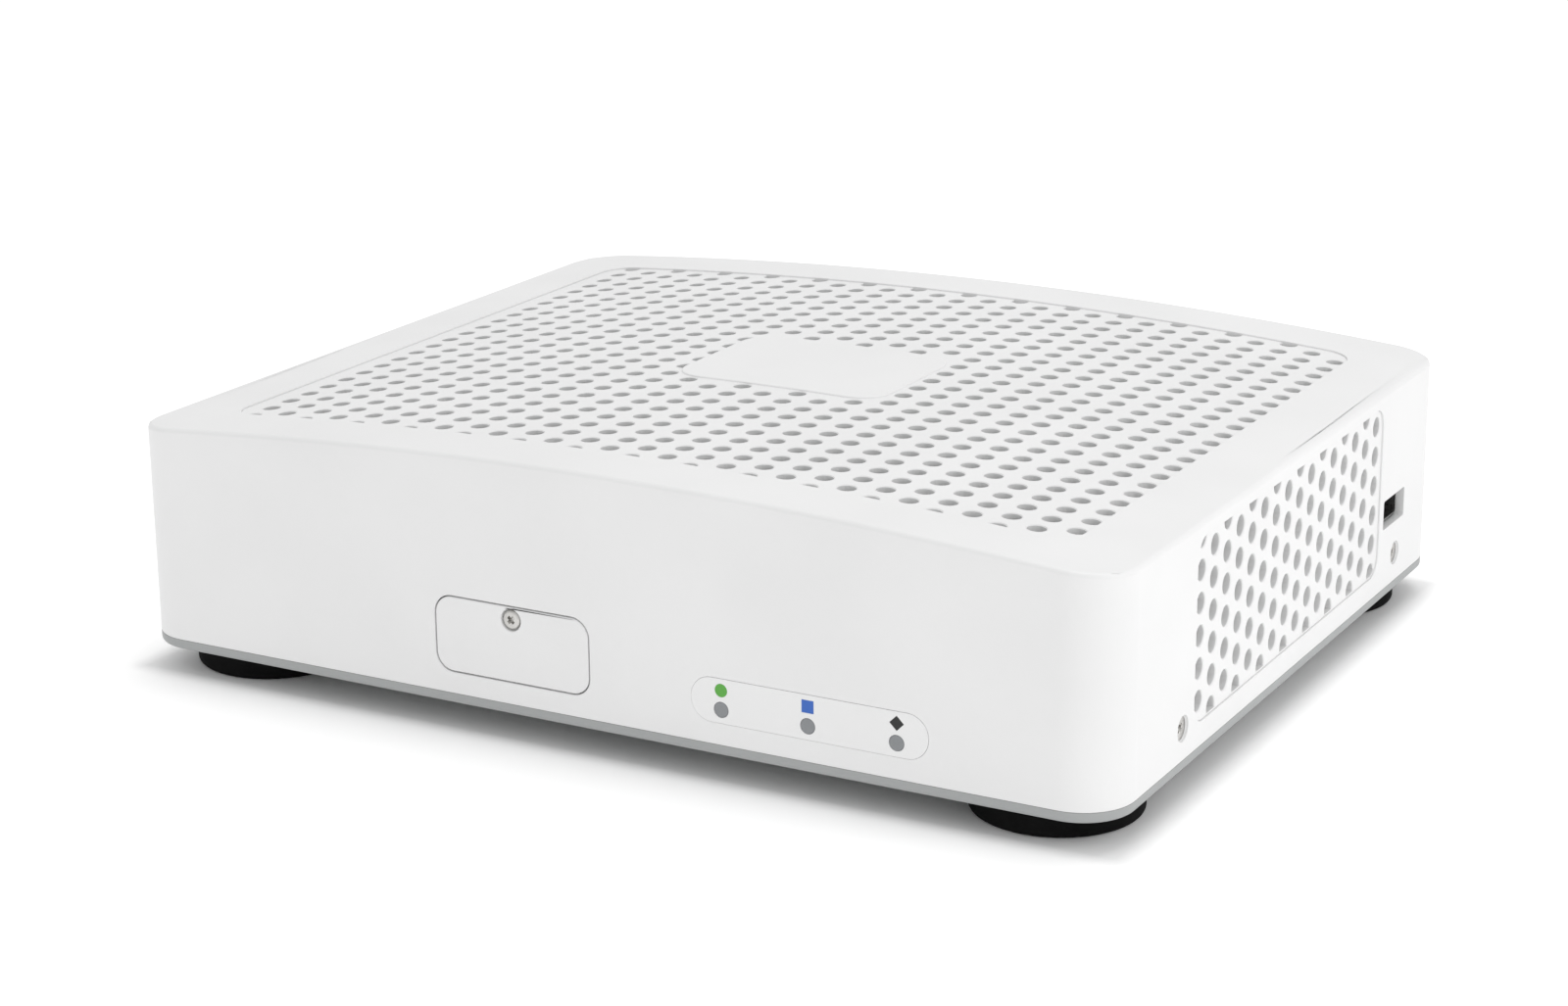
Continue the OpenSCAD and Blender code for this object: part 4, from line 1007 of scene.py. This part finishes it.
def mark_shape(kind, x, name, grow, proud):
    """A dot, a square or a diamond in the strip, or, a little larger, the cutter for its bed."""
    near, far = (x, front - proud * MM, mark_z), (x, front + MARK_DEPTH * MM, mark_z)
    if kind == "circle":
        return rod(name, near, far, (CIRCLE_R + grow) * MM, 40)
    half = (SQUARE_HALF if kind == "square" else DIAMOND_HALF) + grow
    piece = block(name, (-half * MM, near[1], -half * MM), (half * MM, far[1], half * MM))
    if kind == "diamond":
        piece.matrix_world = Matrix.Rotation(math.radians(45), 4, "Y")
    piece.matrix_world = Matrix.Translation((x, 0, mark_z)) @ piece.matrix_world
    only(piece)
    bpy.ops.object.transform_apply(location=True, rotation=True, scale=True)
    return piece


MARKS = (("circle", "mark_green"), ("square", "mark_blue"), ("diamond", "mark_black"))
for (kind, slot), x in zip(MARKS, pipe_x):
    combine(strip, mark_shape(kind, x, "cut", 0.01, 1))
    mark = mark_shape(kind, x, "printed_" + kind, 0, 0)
    soften(mark, 0.04, 1, 40)
    complete(mark, "chassis", slot, "status_" + kind)
soften(strip, 0.03, 2, 50)
complete(strip, "chassis", "strip_white", "indicator_strip", smooth=30)

# %% Light pipes with a collar and rounded ends
PIPE_L, COLLAR_FROM, COLLAR_TO, COLLAR_OVER = 5.8, 2.7, 3.7, 0.8


def light_pipe(x):
    """One light pipe, whose collar lies just behind the front wall."""
    pipe = front_rod("pipe", x, pipe_z, 0, PIPE_L, PIPE_R, 40)
    combine(pipe, front_rod("collar", x, pipe_z, COLLAR_FROM, COLLAR_TO, PIPE_R + COLLAR_OVER, 40), "UNION")
    soften(pipe, 0.22, 3, 40)
    return pipe


complete(joined("smoked_light_pipes", [light_pipe(x) for x in pipe_x]), "chassis", "pipe_grey", "light_pipes")

# %% [markdown]
# ## The USB socket
# A folded steel shell with a black tongue inside. The shell is a rounded block, hollowed from its mouth, with
# two latch windows in its top. The tongue is a block that tapers a little towards the mouth.

# %% USB shell and tongue
USB_WALL, USB_R, LATCH_HALF, LATCH_SPREAD = 0.35, 0.7, 0.9, 3
usb_shell = rounded_block("usb_steel_shell", usb_low, usb_high, USB_R * MM, "X", 5)
low = [v + USB_WALL * MM for v in usb_low]
high = (usb_high[0] + PROUD, usb_high[1] - USB_WALL * MM, usb_high[2] - USB_WALL * MM)
combine(usb_shell, rounded_block("cut", low, high, 0.4 * MM, "X", 5))
latch = block("cut", (usb_high[0] - 6 * MM, -LATCH_HALF * MM, usb_high[2] - 2 * MM),
              (usb_high[0] - 3 * MM, LATCH_HALF * MM, usb_high[2] + MM))
combine(usb_shell, copies(latch, "latches", [(0, usb_y + side * LATCH_SPREAD * MM, 0) for side in (-1, 1)]))
tidy_mesh(usb_shell)
soften(usb_shell, 0.08, 2, 50)
complete(usb_shell, "chassis", "shield_steel", "usb_shell")
tongue_low, tongue_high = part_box("usb_tongue")
tongue = block("usb_black_tongue", tongue_low, tongue_high)
pick(tongue, "FACE", lambda f: f.normal.x > 0.9)
bpy.ops.transform.resize(value=(1, 0.96, 0.8))
leave_edit()
soften(tongue, 0.15)
complete(tongue, "chassis", "plastic_black", "usb_tongue")

# %% [markdown]
# ## Parts that keep their CAD shape
# Sockets, boards and chips are moulded, folded or milled shapes that the CAD already gives exactly, but with
# knife-sharp edges. Modelling each again would change nothing that shows. Each gets a soft copy instead: the
# CAD mesh is copied, its triangles are merged into clean faces, and a bevel rounds its edges by a width that
# suits its material, from 0.05 mm on a contact spring to 0.6 mm on a capacitor's can.

# %% Soft copies
FLAT = 1.0  # degrees; triangles that turn less than this become one face


def soft_copy(node, width_mm):
    """A copy of a CAD node with merged faces and rounded edges, which stands for the node."""
    copy = nodes[node].copy()
    copy.data = nodes[node].data.copy()
    copy.parent = None
    copy.matrix_world = Matrix()
    copy.name = "soft_" + node
    bpy.context.scene.collection.objects.link(copy)
    pick(copy, "VERT", lambda v: True)
    bpy.ops.mesh.remove_doubles(threshold=2e-6)
    bpy.ops.mesh.dissolve_limited(angle_limit=math.radians(FLAT))
    leave_edit()
    soften(copy, width_mm, 2, 40)
    tidy_mesh(copy)
    return complete(copy, body_of_node[node], slot_of_node[node], node, smooth=35)


EDGE_WIDTHS = {
    "rear_panel": 0.15, "lan_jack_block": 0.2, "lan_jack_shield": 0.07, "phone_jack_block": 0.25,
    "dc_jack": 0.25, "dc_jack_pin": 0.1, "power_button": 0.15, "power_switch": 0.2, "ground_screw": 0.1,
    "fibre_adapter": 0.2, "fibre_shutter": 0.1, "fibre_sleeve": 0.05, "optical_transceiver": 0.4,
    "processor": 0.15, "thermal_pad": 0.15, "heatsink": 0.15, "heatsink_pins": 0.2, "memory_chips": 0.1,
    "switch_chip": 0.12, "lan_transformers": 0.25, "capacitors": 0.6, "inductors": 0.5, "main_board": 0.1,
    "front_board": 0.1, "usb_board": 0.1, "usb_board_header": 0.15, "usb_contacts": 0.05,
    "status_leds": 0.15, "reset_switch": 0.15, "reset_button": 0.2, "service_header": 0.06,
    "ribbon_sockets": 0.2, "ribbon_cable": 0.08, "chassis_screws": 0.1, "front_board_screws": 0.08,
    "board_standoffs": 0.15, "usb_board_posts": 0.15,
}
for node, width_mm in EDGE_WIDTHS.items():
    soft_copy(node, width_mm)
